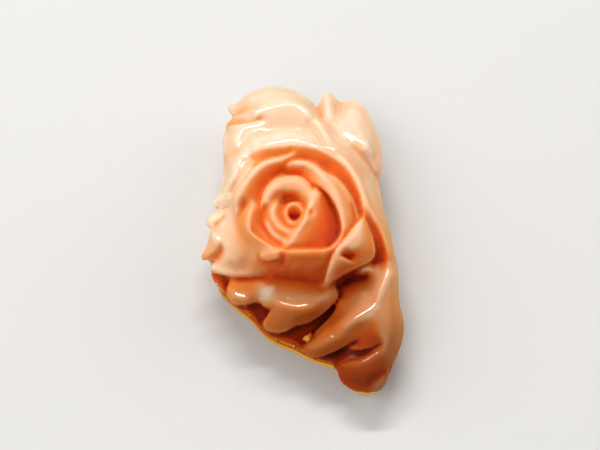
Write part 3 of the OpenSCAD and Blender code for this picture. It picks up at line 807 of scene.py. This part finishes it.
# %% What the sheet is held by
# how far from an edge its two sides are held, in places of the drawing
SIDE_STEP = 0.8


def two_sides(line):
    """The curve of an edge, and places a little to its left and to its right."""
    path = soft_curve(line)
    way = np.gradient(path[:, :2], axis=0)
    way /= np.linalg.norm(way, axis=1)[:, None]
    left = np.stack([way[:, 1], -way[:, 0]], axis=1) * SIDE_STEP
    return path, path[:, :2] + left, path[:, :2] - left


def held_heights():
    """All places of the drawing whose height is known."""
    known = [outline_curve] + [soft_curve(line) for _, line in guides.values()]
    for _, line in edges.values():
        path, left, right = two_sides(line)
        known.append(np.column_stack([left, path[:, 2]]))
        known.append(np.column_stack([right, path[:, 3]]))
    return np.vstack(known)


def held_tones():
    """All places of the drawing whose tone is known."""
    known = []
    for (first, last), line in [*guides.values(), *clouds.values()]:
        path = soft_curve(line)
        known.append(np.column_stack([path[:, :2], np.linspace(first, last, len(path))]))
    for (on_left, on_right), line in edges.values():
        path, left, right = two_sides(line)
        known.append(np.column_stack([left, np.full(len(path), on_left)]))
        known.append(np.column_stack([right, np.full(len(path), on_right)]))
    return np.vstack(known)


print("places with a height:", len(held_heights()), "and with a tone:", len(held_tones()))

# %% Holds and stiffness
# how strongly a knot is held, where the sheet resists each bend with 1 and each twist with 2
HOLD = 4.0
TWIST = 2


def held_knots(known, step, shape):
    """How strongly each knot is held, and at which value."""
    size = shape[0] * shape[1]
    knots = np.rint((known[:, :2] - CORNER) / step).astype(int)
    knots = np.clip(knots, 0, (shape[1] - 1, shape[0] - 1))
    order = knots[:, 1] * shape[1] + knots[:, 0]
    count = np.bincount(order, minlength=size).reshape(shape)
    total = np.bincount(order, known[:, 2], size).reshape(shape)
    return HOLD * (count > 0), total / np.maximum(count, 1)


def stiffness(step, tension):
    """How much the sheet resists along and down: the stretch of a link, a bend, and a twist."""
    across, down = cut_links(step)
    stretch = tension * step * step
    bends = across[:, 1:] * across[:, :-1], down[1:] * down[:-1]
    twist = across[1:] * across[:-1] * down[:, 1:] * down[:, :-1] * TWIST
    return across * stretch, down * stretch, *bends, twist


holds, _ = held_knots(held_heights(), 1, (TALL + 1, WIDE + 1))
print("knots that are held:", int((holds > 0).sum()), "of", holds.size)


# %% How the sheet settles
def pass_on(total, pulls, axis):
    """A pull between two neighbours acts on the second and, the other way round, on the first."""
    knots, pulls = np.moveaxis(total, axis, 0), np.moveaxis(pulls, axis, 0)
    knots[1:] += pulls
    knots[:-1] -= pulls


def pull(form, hold, stiff):
    """How hard a sheet of this form pulls at each of its knots."""
    link_across, link_down, bend_across, bend_down, twist = stiff
    rise_across, rise_down = np.diff(form, axis=1), np.diff(form, axis=0)
    pull_across, pull_down = rise_across * link_across, rise_down * link_down
    pass_on(pull_across, np.diff(rise_across, axis=1) * bend_across, 1)
    pass_on(pull_across, np.diff(rise_across, axis=0) * twist, 0)
    pass_on(pull_down, np.diff(rise_down, axis=0) * bend_down, 0)
    total = form * hold
    pass_on(total, pull_across, 1)
    pass_on(total, pull_down, 0)
    return total


def settle(sheet, step, turns, known, tension):
    """The sheet after it has given way to what holds it, and how much pull is left over."""
    hold, aim = held_knots(known, step, sheet.shape)
    stiff = stiffness(step, tension)
    rest = aim * hold - pull(sheet, hold, stiff)
    way = rest.copy()
    size = (rest * rest).sum()
    for _ in range(turns):
        pulled = pull(way, hold, stiff)
        stride = size / (way * pulled).sum()
        sheet = sheet + stride * way
        rest = rest - stride * pulled
        size, last = (rest * rest).sum(), size
        way = rest + size / last * way
    return sheet, math.sqrt(size)


plane = np.add.outer(np.arange(TALL + 1.0), np.arange(WIDE + 1.0))
print("a tilted plane isn't bent, so it pulls with", np.abs(pull(plane, 0, stiffness(1, 0))).max())

# %% From a coarse sheet to a fine one
ROUNDS = [
    # spacing of the knots, turns
    (8, 300),
    (4, 300),
    (2, 300),
    (1, 260),
]
HEIGHT_TENSION = 0.02
TONE_TENSION = 0.3


def finer(sheet):
    """The same sheet with a knot put in between each two."""
    wide = np.repeat(sheet, 2, axis=1)[:, :-1]
    wide[:, 1::2] = (sheet[:, 1:] + sheet[:, :-1]) / 2
    tall = np.repeat(wide, 2, axis=0)[:-1]
    tall[1::2] = (wide[1:] + wide[:-1]) / 2
    return tall


def settled(known, tension):
    """The sheet that starts flat with few knots, and settles with ever more of them."""
    coarsest = ROUNDS[0][0]
    sheet = np.full((TALL // coarsest + 1, WIDE // coarsest + 1), known[:, 2].mean())
    for step, turns in ROUNDS:
        sheet, left_over = settle(sheet, step, turns, known, tension)
        print(f"knots every {step}: {sheet.shape[1]} by {sheet.shape[0]}, left over {left_over:.4f}")
        if step > 1:
            sheet = finer(sheet)
    return sheet


heights = settled(held_heights(), HEIGHT_TENSION)
tones = np.clip(settled(held_tones(), TONE_TENSION), 0, 1)


# %% Read the sheet
# a place nearer than this to the sheet's last knots is read this far from them
LAST_PLACE = 1.001


def read_sheet(sheet, across, down):
    """The value of a sheet at places of the drawing, which may lie between its knots."""
    across = np.clip(across - CORNER[0], 0, WIDE - LAST_PLACE)
    down = np.clip(down - CORNER[1], 0, TALL - LAST_PLACE)
    column, row = across.astype(int), down.astype(int)
    right, low = across - column, down - row
    above = sheet[row, column] * (1 - right) + sheet[row, column + 1] * right
    below = sheet[row + 1, column] * (1 - right) + sheet[row + 1, column + 1] * right
    return above * (1 - low) + below * low


print("highest knot, mm:", heights.max().round(2))

# %% [markdown]
# ## The carved coral
# The sheet is only a skin. To make it a solid, a fine grid is trimmed to the outline, each of its
# points goes to its place in space, and the skin is extruded downwards to a second, lower skin.
# A Solidify modifier would make it equally thick everywhere. The real coral is thin at its rim and
# grows thicker inwards, so the lower skin gets its own heights. Where the rim faces the camera, the
# underside goes back along the line of sight, so the rim looks as thin as it was drawn.

# %% The coral's seat
SEAT_LOW = 3.6
SEAT = [
    # y, left, right and top of the plate that sits on the frame
    (-23.9, 7.3, 9.8, 4.2),
    (-22.7, 5.9, 10.9, 4.2),
    (-20.9, 5.2, 11.7, 4.2),
    (-19.8, 4.4, 12.1, 4.2),
    (-18.9, 1.5, 12.6, 4.2),
    (-17.1, -1.1, 12.8, 4.2),
    (-15.9, -3.9, 12.8, 4.2),
    (-14.3, -5.5, 12.8, 4.2),
    (-12.1, -7.0, 12.7, 4.3),
    (-9.1, -10.3, 12.5, 4.5),
    (-6.1, -12.1, 12.3, 4.8),
    (-0.7, -12.3, 11.8, 5.2),
    (5.3, -11.1, 11.1, 5.6),
    (11.3, -10.4, 10.7, 5.6),
    (17.3, -10.0, 10.1, 5.4),
    (22.1, -7.1, 7.9, 5.0),
]


def seat_pieces(bm):
    """Straight pieces of plate from each row of the seat to the next."""
    for pair in zip(SEAT, SEAT[1:]):
        corners = []
        for y, left, right, top in pair:
            for x in (left, right):
                for z in (SEAT_LOW, top):
                    corners.append(bm.verts.new((x, y, z)))
        bmesh.ops.convex_hull(bm, input=corners)


print("seat:", len(SEAT) - 1, "pieces of plate")


# %% Trim the grid to the outline
def inside(across, down, line):
    """Which places of the drawing lie inside a closed line."""
    within = np.zeros(len(across), bool)
    for (x0, y0), (x1, y1) in zip(line, np.roll(line, -1, axis=0)):
        if y0 != y1:
            within ^= ((y0 > down) != (y1 > down)) & (across < x0 + (x1 - x0) * (down - y0) / (y1 - y0))
    return within


def nearest(points, targets):
    """For each point the number of the nearest target, and how far it is."""
    best = np.zeros(len(points), int)
    gap = np.full(len(points), np.inf)
    for k, target in enumerate(targets):
        distance = ((points - target) ** 2).sum(axis=1)
        closer = distance < gap
        best[closer] = k
        gap[closer] = distance[closer]
    return best, np.sqrt(gap)


def knots_of(spots):
    """How many knots across and down the sheet these spots lie. The grid runs from -1 to 1 both ways."""
    spots = np.array([tuple(spot) for spot in spots])
    return (spots[:, 0] + 1) / 2 * WIDE, (1 - spots[:, 1]) / 2 * TALL


rim = outline_curve[:-1]
bm = bmesh.new()
number = bm.verts.layers.int.new("number")
bmesh.ops.create_grid(bm, x_segments=WIDE, y_segments=TALL, size=1)
column, row = knots_of(face.calc_center_median() for face in bm.faces)
kept = inside(CORNER[0] + column, CORNER[1] + row, rim[:, :2])
bmesh.ops.delete(bm, geom=[face for face, keep in zip(bm.faces[:], kept) if not keep], context="FACES")
skin = list(bm.verts)
print("skin of the carving:", len(skin), "points")

# %% The upper skin
column, row = (np.rint(count).astype(int) for count in knots_of(point.co for point in skin))
place = np.column_stack([CORNER[0] + column, CORNER[1] + row, heights[row, column]]).astype(float)
border = np.array([point.is_boundary for point in skin])
on_rim, _ = nearest(place[border, :2], rim[:, :2])
place[border] = rim[on_rim]
upper = block_points(*place.T)
print("upper skin, mm:", upper.min(axis=0).round(2), upper.max(axis=0).round(2))

# %% The lower skin
# the thickness at the rim, and what each mm inwards and its square add to it
THIN_RIM = 1.2
THICKER_AT_ONCE = 0.4
THICKER_FURTHER_IN = 0.6
# how far below the seat's top and above its underside the lower skin stays
INTO_SEAT = 0.35
LEAST_DEPTH = 0.1
# how gradually the underside turns to the line of sight, round the outline
TURN_SOFTNESS = 0.3
# how many points of the rim come before its start and after its end, so that it closes smoothly
LAP = 3

rim_points = block_points(*rim.T)
closest, gap = nearest(upper[:, :2], rim_points[:, :2])
way = np.gradient(np.vstack([rim[-LAP:], rim, rim[:LAP]])[:, :2], axis=0)[LAP:-LAP]
# going clockwise, the outside is on the left, and it faces the near end where the way goes left
faces_near = -way[:, 0] / np.linalg.norm(way, axis=1)
thickness = THIN_RIM + THICKER_AT_ONCE * gap + THICKER_FURTHER_IN * gap ** 2
seat_y, _, _, seat_tops = zip(*SEAT)
seat_top = np.interp(upper[:, 1], seat_y, seat_tops)
low = np.clip(upper[:, 2] - thickness, SEAT_LOW + LEAST_DEPTH, seat_top - INTO_SEAT)
drop = upper[:, 2] - low
along_sight = np.clip((faces_near[closest] + TURN_SOFTNESS) / (2 * TURN_SOFTNESS), 0, 1)
lower = upper + np.column_stack([0 * drop, drop / math.tan(ELEVATION) * along_sight, -drop])
for k, point in enumerate(skin):
    point[number] = k
    point.co = upper[k]
made = bmesh.ops.extrude_face_region(bm, geom=list(bm.faces))
for part in made["geom"]:
    if isinstance(part, bmesh.types.BMVert):
        part.co = lower[part[number]]
bmesh.ops.recalc_face_normals(bm, faces=bm.faces)
# the lowest stretches of the rim lie a hair below their lower skin, which the remesh evens out
print("thinnest and thickest, mm:", drop.min().round(2), drop.max().round(2))

# %% [markdown]
# ## One piece of coral
# The carving and the plate below it overlap. A Boolean could join them, but where thin petals touch it
# often leaves slits. A voxel remesh wraps all of it in one new closed skin of even little faces, which
# also rounds every edge a little, as polishing does.

# %% Fuse the carving with its seat
VOXEL = 0.2


def mesh_from(bm, name):
    """A mesh with all that is in the bmesh, which is freed."""
    mesh = bpy.data.meshes.new(name)
    bm.to_mesh(mesh)
    bm.free()
    return mesh


seat_pieces(bm)
skins = mesh_from(bm, "coral carving")
coral = add_object("carved_coral", skins)
fuse = coral.modifiers.new("fuse", "REMESH")
fuse.mode = "VOXEL"
fuse.voxel_size = VOXEL
fuse.use_smooth_shade = True
fused = bpy.data.meshes.new_from_object(coral.evaluated_get(bpy.context.evaluated_depsgraph_get()))
coral.modifiers.clear()
coral.data = fused
bpy.data.meshes.remove(skins)
print("fused coral:", len(fused.vertices), "points")


# %% Read and write a mesh at once
def read_rows(parts, key, wide, kind):
    """What a mesh keeps under this key, with a row for each of its parts."""
    values = np.zeros(len(parts) * wide, kind)
    parts.foreach_get(key, values)
    return values.reshape(-1, wide)


def read_normals(mesh):
    return read_rows(mesh.vertex_normals, "vector", 3, np.float32).astype(float)


def write_points(mesh, points):
    mesh.vertices.foreach_set("co", points.astype(np.float32).ravel())
    mesh.update()


def write_attribute(mesh, name, values):
    mesh.attributes.new(name, "FLOAT", "POINT").data.foreach_set("value", values.astype(np.float32))


links = read_rows(fused.edges, "vertices", 2, np.int32)
points = read_rows(fused.vertices, "co", 3, np.float32).astype(float)
print("fused coral:", len(links), "links between its points")

# %% [markdown]
# ## Polishing
# A polisher rubs the whole carving lightly and the plain walls longer, since no fine line is lost
# there. The script does the same: every point moves a little towards the middle of its neighbours.
# The walls, which face away from the drawing's eye and have faint steps left, are rubbed for longer.

# %% Rub the coral smooth
LIGHT_RUBS = 2
WALL_RUBS = 24
# how far a rub moves a point, from 0 for not at all to 1 for the middle of its neighbours
RUB_SHARE = 0.5
# a surface faces the eye by 1 when it is square to it, and by 0 when it is seen edge on: it starts to
# be wall below the first of these, and is all wall when it is lower by the second
WALL_STARTS, WALL_BLEND = 0.4, 0.3


def rubbed(values, times):
    """Each value moves towards the mean of its neighbours', the given number of times."""
    count = len(values)
    one, other = links.T
    neighbours = np.bincount(one, minlength=count) + np.bincount(other, minlength=count)
    columns = values.reshape(count, -1)
    for _ in range(times):
        totals = [
            np.bincount(one, column[other], count) + np.bincount(other, column[one], count)
            for column in columns.T
        ]
        columns = columns + RUB_SHARE * (np.stack(totals, axis=1) / neighbours[:, None] - columns)
    return columns.reshape(values.shape)


points = rubbed(points, LIGHT_RUBS)
write_points(fused, points)
towards_eye = read_normals(fused) @ np.array(BACK)
wall = rubbed(np.clip((WALL_STARTS - towards_eye) / WALL_BLEND, 0, 1), LIGHT_RUBS)
points += wall[:, None] * (rubbed(points, WALL_RUBS) - points)
write_points(fused, points)
print(f"share of the coral that is wall: {wall.mean():.2f}")

# %% [markdown]
# ## What the coral's surface knows
# The finish needs two things at each point, and both are kept in the mesh as attributes. One is the
# tone, read from the second sheet. The other tells grooves from ridges: how far a point stands out
# of its smoothed surroundings. A polishing cloth doesn't get into the grooves, so they shine less.
# The same measure paints ridges a little paler and grooves a little darker, as painted highlight and
# shade.

# %% Tones and grooves
GROOVE_RUBS = 12
SOFTEN = 3

coral_tones = read_sheet(tones, *drawing_place(points))
coral_tones += wall * (rubbed(coral_tones, WALL_RUBS) - coral_tones)
write_attribute(fused, "tone", coral_tones)
proud = ((points - rubbed(points, GROOVE_RUBS)) * read_normals(fused)).sum(axis=1)
write_attribute(fused, "proud", rubbed(proud, SOFTEN))
print("proud of the surroundings, mm:", np.percentile(proud, [1, 50, 99]).round(3))

# %% Hand the coral over
fused.transform(Matrix.Scale(MM, 4))
fused.update()
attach(coral, "root")
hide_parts("coral_carving")
print("coral, mm:", (points.max(axis=0) - points.min(axis=0)).round(1))

# %% [markdown]
# ## Writing materials as sums
# A material is a net of nodes. Placed by hand in the editor it is easy to see, but in a script the sums
# are easier to read as sums. The first class wraps one socket, so that 1 - mask adds a Math node. The
# second adds any other node, with its settings first and then its values or links. The third builds
# on it, with a short way to each node that is needed often.

# %% A socket that can stand in a sum
class Amount:
    """One output of a node, which varies over the surface."""

    def __init__(self, net, socket):
        self.net, self.socket = net, socket

    def sum_with(self, operation, first, second):
        return self.net.node("ShaderNodeMath", {"operation": operation}, {0: first, 1: second})

    def __add__(self, other):
        return self.sum_with("ADD", self, other)

    def __sub__(self, other):
        return self.sum_with("SUBTRACT", self, other)

    def __rsub__(self, other):
        return self.sum_with("SUBTRACT", other, self)

    def __mul__(self, other):
        return self.sum_with("MULTIPLY", self, other)

    def at_most(self, other):
        return self.sum_with("MINIMUM", self, other)

    __radd__, __rmul__ = __add__, __mul__


print("an amount can do:", [way.strip("_") for way in vars(Amount) if callable(getattr(Amount, way))])

# %% One way to add a node
class Net:
    """The nodes of a material or of the world, which lead to its surface."""

    def __init__(self, owner, surface):
        owner.use_nodes = True
        self.tree = owner.node_tree
        self.surface = self.tree.nodes[surface]

    def node(self, kind, settings, values, output=0):
        node = self.tree.nodes.new(kind)
        for key, value in settings.items():
            if key == "stops":
                self.set_stops(node.color_ramp, value)
            else:
                setattr(node, key, value)
        for key, value in values.items():
            self.join(node.inputs[key], value)
        return Amount(self, node.outputs[output])

    def set_stops(self, ramp, stops):
        while len(ramp.elements) < len(stops):
            ramp.elements.new(1)
        for element, (position, colour) in zip(ramp.elements, stops):
            element.position, element.color = position, (*colour, 1)

    def join(self, socket, value):
        if isinstance(value, Amount):
            self.tree.links.new(value.socket, socket)
        elif socket.type == "RGBA":
            socket.default_value = (*value, 1)
        else:
            socket.default_value = value

    def feed(self, **values):
        """Values or links for the surface's sockets, with _ for a space in a socket's name."""
        for key, value in values.items():
            self.join(self.surface.inputs[key.replace("_", " ")], value)


print("a node takes its settings first, and then its values or links")

# %% Nodes that come again and again
# a Mix node has sockets for each kind of value, and these are the ones for colours
MIX_FIRST, MIX_SECOND, MIX_RESULT = 6, 7, 2


class Look(Net):
    """A net with short ways to the nodes that most finishes need."""

    def places(self):
        return self.node("ShaderNodeTexCoord", {}, {}, "Object")

    def attribute(self, name):
        return self.node("ShaderNodeAttribute", {"attribute_name": name}, {}, "Fac")

    def noise(self, scale, detail=2.0):
        values = {"Vector": self.places(), "Scale": scale, "Detail": detail}
        return self.node("ShaderNodeTexNoise", {}, values)

    def rise(self, value, start, end, shape="SMOOTHSTEP"):
        """0 where the value is at start, 1 where it is at end."""
        ends = {"Value": value, "From Min": start, "From Max": end}
        return self.node("ShaderNodeMapRange", {"interpolation_type": shape}, ends)

    def blend(self, share, first, second, way="MIX"):
        settings = {"data_type": "RGBA", "blend_type": way}
        values = {"Factor": share, MIX_FIRST: first, MIX_SECOND: second}
        return self.node("ShaderNodeMix", settings, values, MIX_RESULT)


print("short ways:", [way for way in vars(Look) if not way.startswith("_")])

# %% [markdown]
# ## Polished coral
# Coral is stone-like but a little waxy: light goes in and comes out nearby, red most of all, which
# subsurface scattering gives. Its colour runs from cream at the thin far leaves to deep red-brown in
# the shaded hollows, so a colour ramp turns the tone into it, with a faint mottle. A rim that stands
# proud is painted a little paler, a painted highlight, and a groove a little deeper, painted shade.
# The near end is painted darker, as painted shade where less light falls.
# The polish is bright on the leaves and only satin inside the rose, where the tool could hardly
# reach. The grooves have less of it too.

# %% The coral's colours
TONE_COLOURS = [
    # tone, colour
    (0.00, (0.07, 0.004, 0.0005)),
    (0.10, (0.44, 0.030, 0.001)),
    (0.20, (0.72, 0.088, 0.006)),
    (0.35, (0.78, 0.168, 0.020)),
    (0.50, (0.81, 0.265, 0.062)),
    (0.65, (0.84, 0.375, 0.160)),
    (0.80, (0.87, 0.510, 0.300)),
    (1.00, (0.91, 0.705, 0.525)),
]
MOTTLE_SCALE = 260.0
MOTTLE_MIDDLE = 0.5
MOTTLE_STRENGTH = 0.06
# how far a rim is above its surroundings and a groove below them, in mm, and how much painted highlight
# makes the rim paler and painted shade makes the groove darker
RIM_STARTS, RIM_FULL = 0.01, 0.06
GROOVE_STARTS, GROOVE_FULL = -0.01, -0.06
RIM_PAINTED_HIGHLIGHT, GROOVE_PAINTED_SHADE = 0.08, 0.05
# where along the brooch the painted shade of the near end starts and is darkest, in m, and what it leaves
# of each colour
NEAR_SHADE_STARTS, NEAR_SHADE_FULL = -0.003, -0.026
NEAR_SHADE_COLOUR = (0.36, 0.32, 0.29)

coral_material = bpy.data.materials.new("polished coral")
coral_look = Look(coral_material, "Principled BSDF")
mottle = (coral_look.noise(MOTTLE_SCALE) - MOTTLE_MIDDLE) * MOTTLE_STRENGTH
stands_proud = coral_look.attribute("proud")
# a painted highlight on proud rims and painted shade in grooves
painted_rim_highlight = coral_look.rise(stands_proud, RIM_STARTS, RIM_FULL) * RIM_PAINTED_HIGHLIGHT
painted_groove_shade = coral_look.rise(stands_proud, GROOVE_STARTS, GROOVE_FULL) * GROOVE_PAINTED_SHADE
coral_tone = coral_look.attribute("tone") + mottle + painted_rim_highlight - painted_groove_shade
coral_colour = coral_look.node("ShaderNodeValToRGB", {"stops": TONE_COLOURS}, {"Fac": coral_tone})
along = coral_look.node("ShaderNodeSeparateXYZ", {}, {"Vector": coral_look.places()}, "Y")
# painted shade: the colour is multiplied darker towards the near end
near_end_painted_shade = coral_look.rise(along, NEAR_SHADE_STARTS, NEAR_SHADE_FULL)
coral_colour = coral_look.blend(near_end_painted_shade, coral_colour, NEAR_SHADE_COLOUR, "MULTIPLY")
coral_look.feed(Base_Color=coral_colour)
print("coral tones:", len(TONE_COLOURS))

# %% The coral's polish
# the rose's place and the distances from it, in m, between which the polish turns to satin
ROSE_CENTRE = (-0.0006, -0.0020, 0.0125)
ROSE_RIM, ROSE_INSIDE = 0.0114, 0.0100
# how deep a groove is, in mm, where it starts to be dull and where it is dullest
DULL_STARTS, DULL_FULL = -0.004, -0.03
POLISHED = 0.09
SATIN_MORE, DULL_MORE = 0.38, 0.4
ROUGHEST = 1.0
# how much of the light goes in, and how deep red, green and blue go, in m
GLOW = 0.5
GLOW_SCALE = 1.0
GLOW_DEPTHS = (0.0016, 0.0005, 0.0002)

to_centre = {0: coral_look.places(), 1: ROSE_CENTRE}
from_centre = coral_look.node("ShaderNodeVectorMath", {"operation": "DISTANCE"}, to_centre, "Value")
satin = coral_look.rise(from_centre, ROSE_RIM, ROSE_INSIDE)
dull = coral_look.rise(stands_proud, DULL_STARTS, DULL_FULL)
coral_look.feed(
    Roughness=POLISHED + (satin * SATIN_MORE + dull * DULL_MORE).at_most(ROUGHEST),
    Subsurface_Weight=GLOW,
    Subsurface_Scale=GLOW_SCALE,
    Subsurface_Radius=GLOW_DEPTHS,
)
coral.data.materials.append(coral_material)
print("coral nodes:", len(coral_look.tree.nodes))

# %% [markdown]
# ## The gold
# The frame is a band of wires and short posts, soldered and polished, and the pin behind it is drawn
# wire. They could be drawn again as curves, but the solid model has both in full. Only its edges are
# sharp to the last micron, and real edges catch the light. So each is copied, its loose triangles are
# joined, and its sharp edges get a bevel.
# Gold that is worn shines unevenly, so a fine noise moves its roughness and its colour a little.

# %% Round the edges of a metal part
# points nearer than this, in m, are joined
SAME_PLACE = 0.000002
# an edge is flat below the first angle and sharp above the second
FLAT_ANGLE = math.radians(1)
SHARP_ANGLE = math.radians(40)
EDGE_FACES = 2
ROUND_PROFILE = 0.5


def metal_piece(name, node, edge_size):
    """A copy of a metal part with its sharp edges rounded, which takes the part's place."""
    bm = bmesh.new()
    bm.from_mesh(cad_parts[node].data)
    bmesh.ops.remove_doubles(bm, verts=bm.verts, dist=SAME_PLACE)
    bmesh.ops.dissolve_limit(bm, angle_limit=FLAT_ANGLE, verts=bm.verts, edges=bm.edges)
    sharp = [side for side in bm.edges if side.is_manifold and side.calc_face_angle() > SHARP_ANGLE]
    bmesh.ops.bevel(
        bm, geom=sharp, offset=edge_size, segments=EDGE_FACES, profile=ROUND_PROFILE,
        affect="EDGES", material=-1, clamp_overlap=True,
    )
    bmesh.ops.triangulate(bm, faces=bm.faces)
    bmesh.ops.recalc_face_normals(bm, faces=bm.faces)
    open_edges = sum(not side.is_manifold for side in bm.edges)
    for face in bm.faces:
        face.smooth = True
    piece = add_object(name, mesh_from(bm, name))
    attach(piece, "root")
    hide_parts(node)
    print(f"{name}: {len(piece.data.polygons)} triangles, {open_edges} open edges")
    return piece


print(f"edges sharper than {math.degrees(SHARP_ANGLE):.0f} degrees get {EDGE_FACES} faces each")

# %% Uneven gold
GOLD_DETAIL = 4.0


def gold_material(name, dull, bright, smooth, uneven, scale):
    """Gold that varies between two colours. It is rougher than smooth by up to uneven where it is dull."""
    material = bpy.data.materials.new(name)
    look = Look(material, "Principled BSDF")
    rubbed_bright = look.noise(scale, GOLD_DETAIL)
    look.feed(
        Base_Color=look.blend(rubbed_bright, dull, bright),
        Roughness=smooth + (1 - rubbed_bright) * uneven,
        Metallic=1.0,
    )
    print(f"{name}: {len(look.tree.nodes)} nodes")
    return material


polished_gold = gold_material(
    "polished gold",
    dull=(0.91, 0.60, 0.18),
    bright=(0.98, 0.74, 0.27),
    smooth=0.13,
    uneven=0.10,
    scale=900.0,
)
satin_gold = gold_material(
    "satin gold",
    dull=(0.88, 0.61, 0.28),
    bright=(0.95, 0.71, 0.36),
    smooth=0.25,
    uneven=0.10,
    scale=1400.0,
)

# %% The gallery frame
gold_frame = metal_piece("gold_frame", "gallery_frame", edge_size=0.00008)
gold_frame.data.materials.append(polished_gold)

# %% The pin
gold_pin = metal_piece("gold_pin", "pin_clasp", edge_size=0.00005)
gold_pin.data.materials.append(satin_gold)

# %% [markdown]
# ## Floor and light
# The brooch lies on a plain pale floor. A polished thing shows what stands round it, so the lights
# are of two kinds. A long lamp behind the brooch is mirrored in every level crest as a white streak.
# Large soft lights fill the shade but aren't mirrored, or the coral would look milky.
# The world is dim above and warm below, as if the coral's own colour came back from the floor. The
# floor itself isn't mirrored, because at a glancing angle it would turn the petals' rims grey.

# %% Floor
FLOOR_HALF = 1.5
FLOOR_COLOUR = (0.66, 0.65, 0.63)
FLOOR_ROUGHNESS = 0.8

bm = bmesh.new()
bmesh.ops.create_grid(bm, x_segments=1, y_segments=1, size=FLOOR_HALF)
floor = add_object("floor", mesh_from(bm, "floor"))
floor.visible_glossy = False
floor_material = bpy.data.materials.new("pale floor")
Look(floor_material, "Principled BSDF").feed(Base_Color=FLOOR_COLOUR, Roughness=FLOOR_ROUGHNESS)
floor.data.materials.append(floor_material)
floor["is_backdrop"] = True
print("floor:", 2 * FLOOR_HALF, "m square")

# %% Lamps
BROOCH = (0, 0, 0)
ABOVE_BROOCH = (0, 0, 0.05)
LAMPS = [
    # name, where it stands, what it faces, width and height in m, power in watts, whether it is mirrored
    ("long lamp behind", (-0.06, 0.42, 0.50), BROOCH, (0.44, 0.05), 2.7, True),
    ("pale card behind", (0.0, 0.90, 0.12), ABOVE_BROOCH, (1.2, 0.4), 0.7, True),
    ("soft overhead", (0.0, 0.25, 0.80), BROOCH, (0.6, 0.6), 0.8, False),
    ("soft left", (-0.55, 0.10, 0.40), BROOCH, (0.5, 0.4), 1.4, False),
    ("soft front", (-0.30, -0.38, 0.55), BROOCH, (0.6, 0.5), 2.5, False),
    ("soft right", (0.55, 0.15, 0.35), BROOCH, (0.5, 0.4), 1.5, False),
]


def lamp(name, place, aim, size, power, mirrored):
    """A flat lamp, which is seen in polished things only when it is mirrored."""
    light = bpy.data.lights.new(name, "AREA")
    light.shape = "RECTANGLE"
    light.size, light.size_y = size
    light.energy = power
    stand = add_object(name, light)
    stand.location = place
    stand.rotation_euler = facing(Vector(aim) - Vector(place))
    stand.visible_glossy = mirrored


for row in LAMPS:
    lamp(*row)
print("lamps:", len(LAMPS))

# %% World
DIM_ABOVE = (0.12, 0.114, 0.108)
WARM_BELOW = (0.62, 0.40, 0.18)
# how far below the level a direction points where the warmth starts and where it is full
WARM_STARTS, WARM_FULL = -0.05, -0.3

world = bpy.context.scene.world or bpy.data.worlds.new("world")
bpy.context.scene.world = world
sky = Look(world, "Background")
direction = sky.node("ShaderNodeTexCoord", {}, {}, "Generated")
height = sky.node("ShaderNodeSeparateXYZ", {}, {"Vector": direction}, "Z")
below = sky.rise(height, WARM_STARTS, WARM_FULL, "LINEAR")
sky.feed(Color=sky.blend(below, DIM_ABOVE, WARM_BELOW), Strength=1.0)
bpy.context.scene.view_settings.view_transform = "Standard"
print("world nodes:", len(sky.tree.nodes))

# %% Measure and finish
low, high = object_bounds()
print("dressed brooch, mm:", [round(v / MM, 2) for v in (*low, *high)])
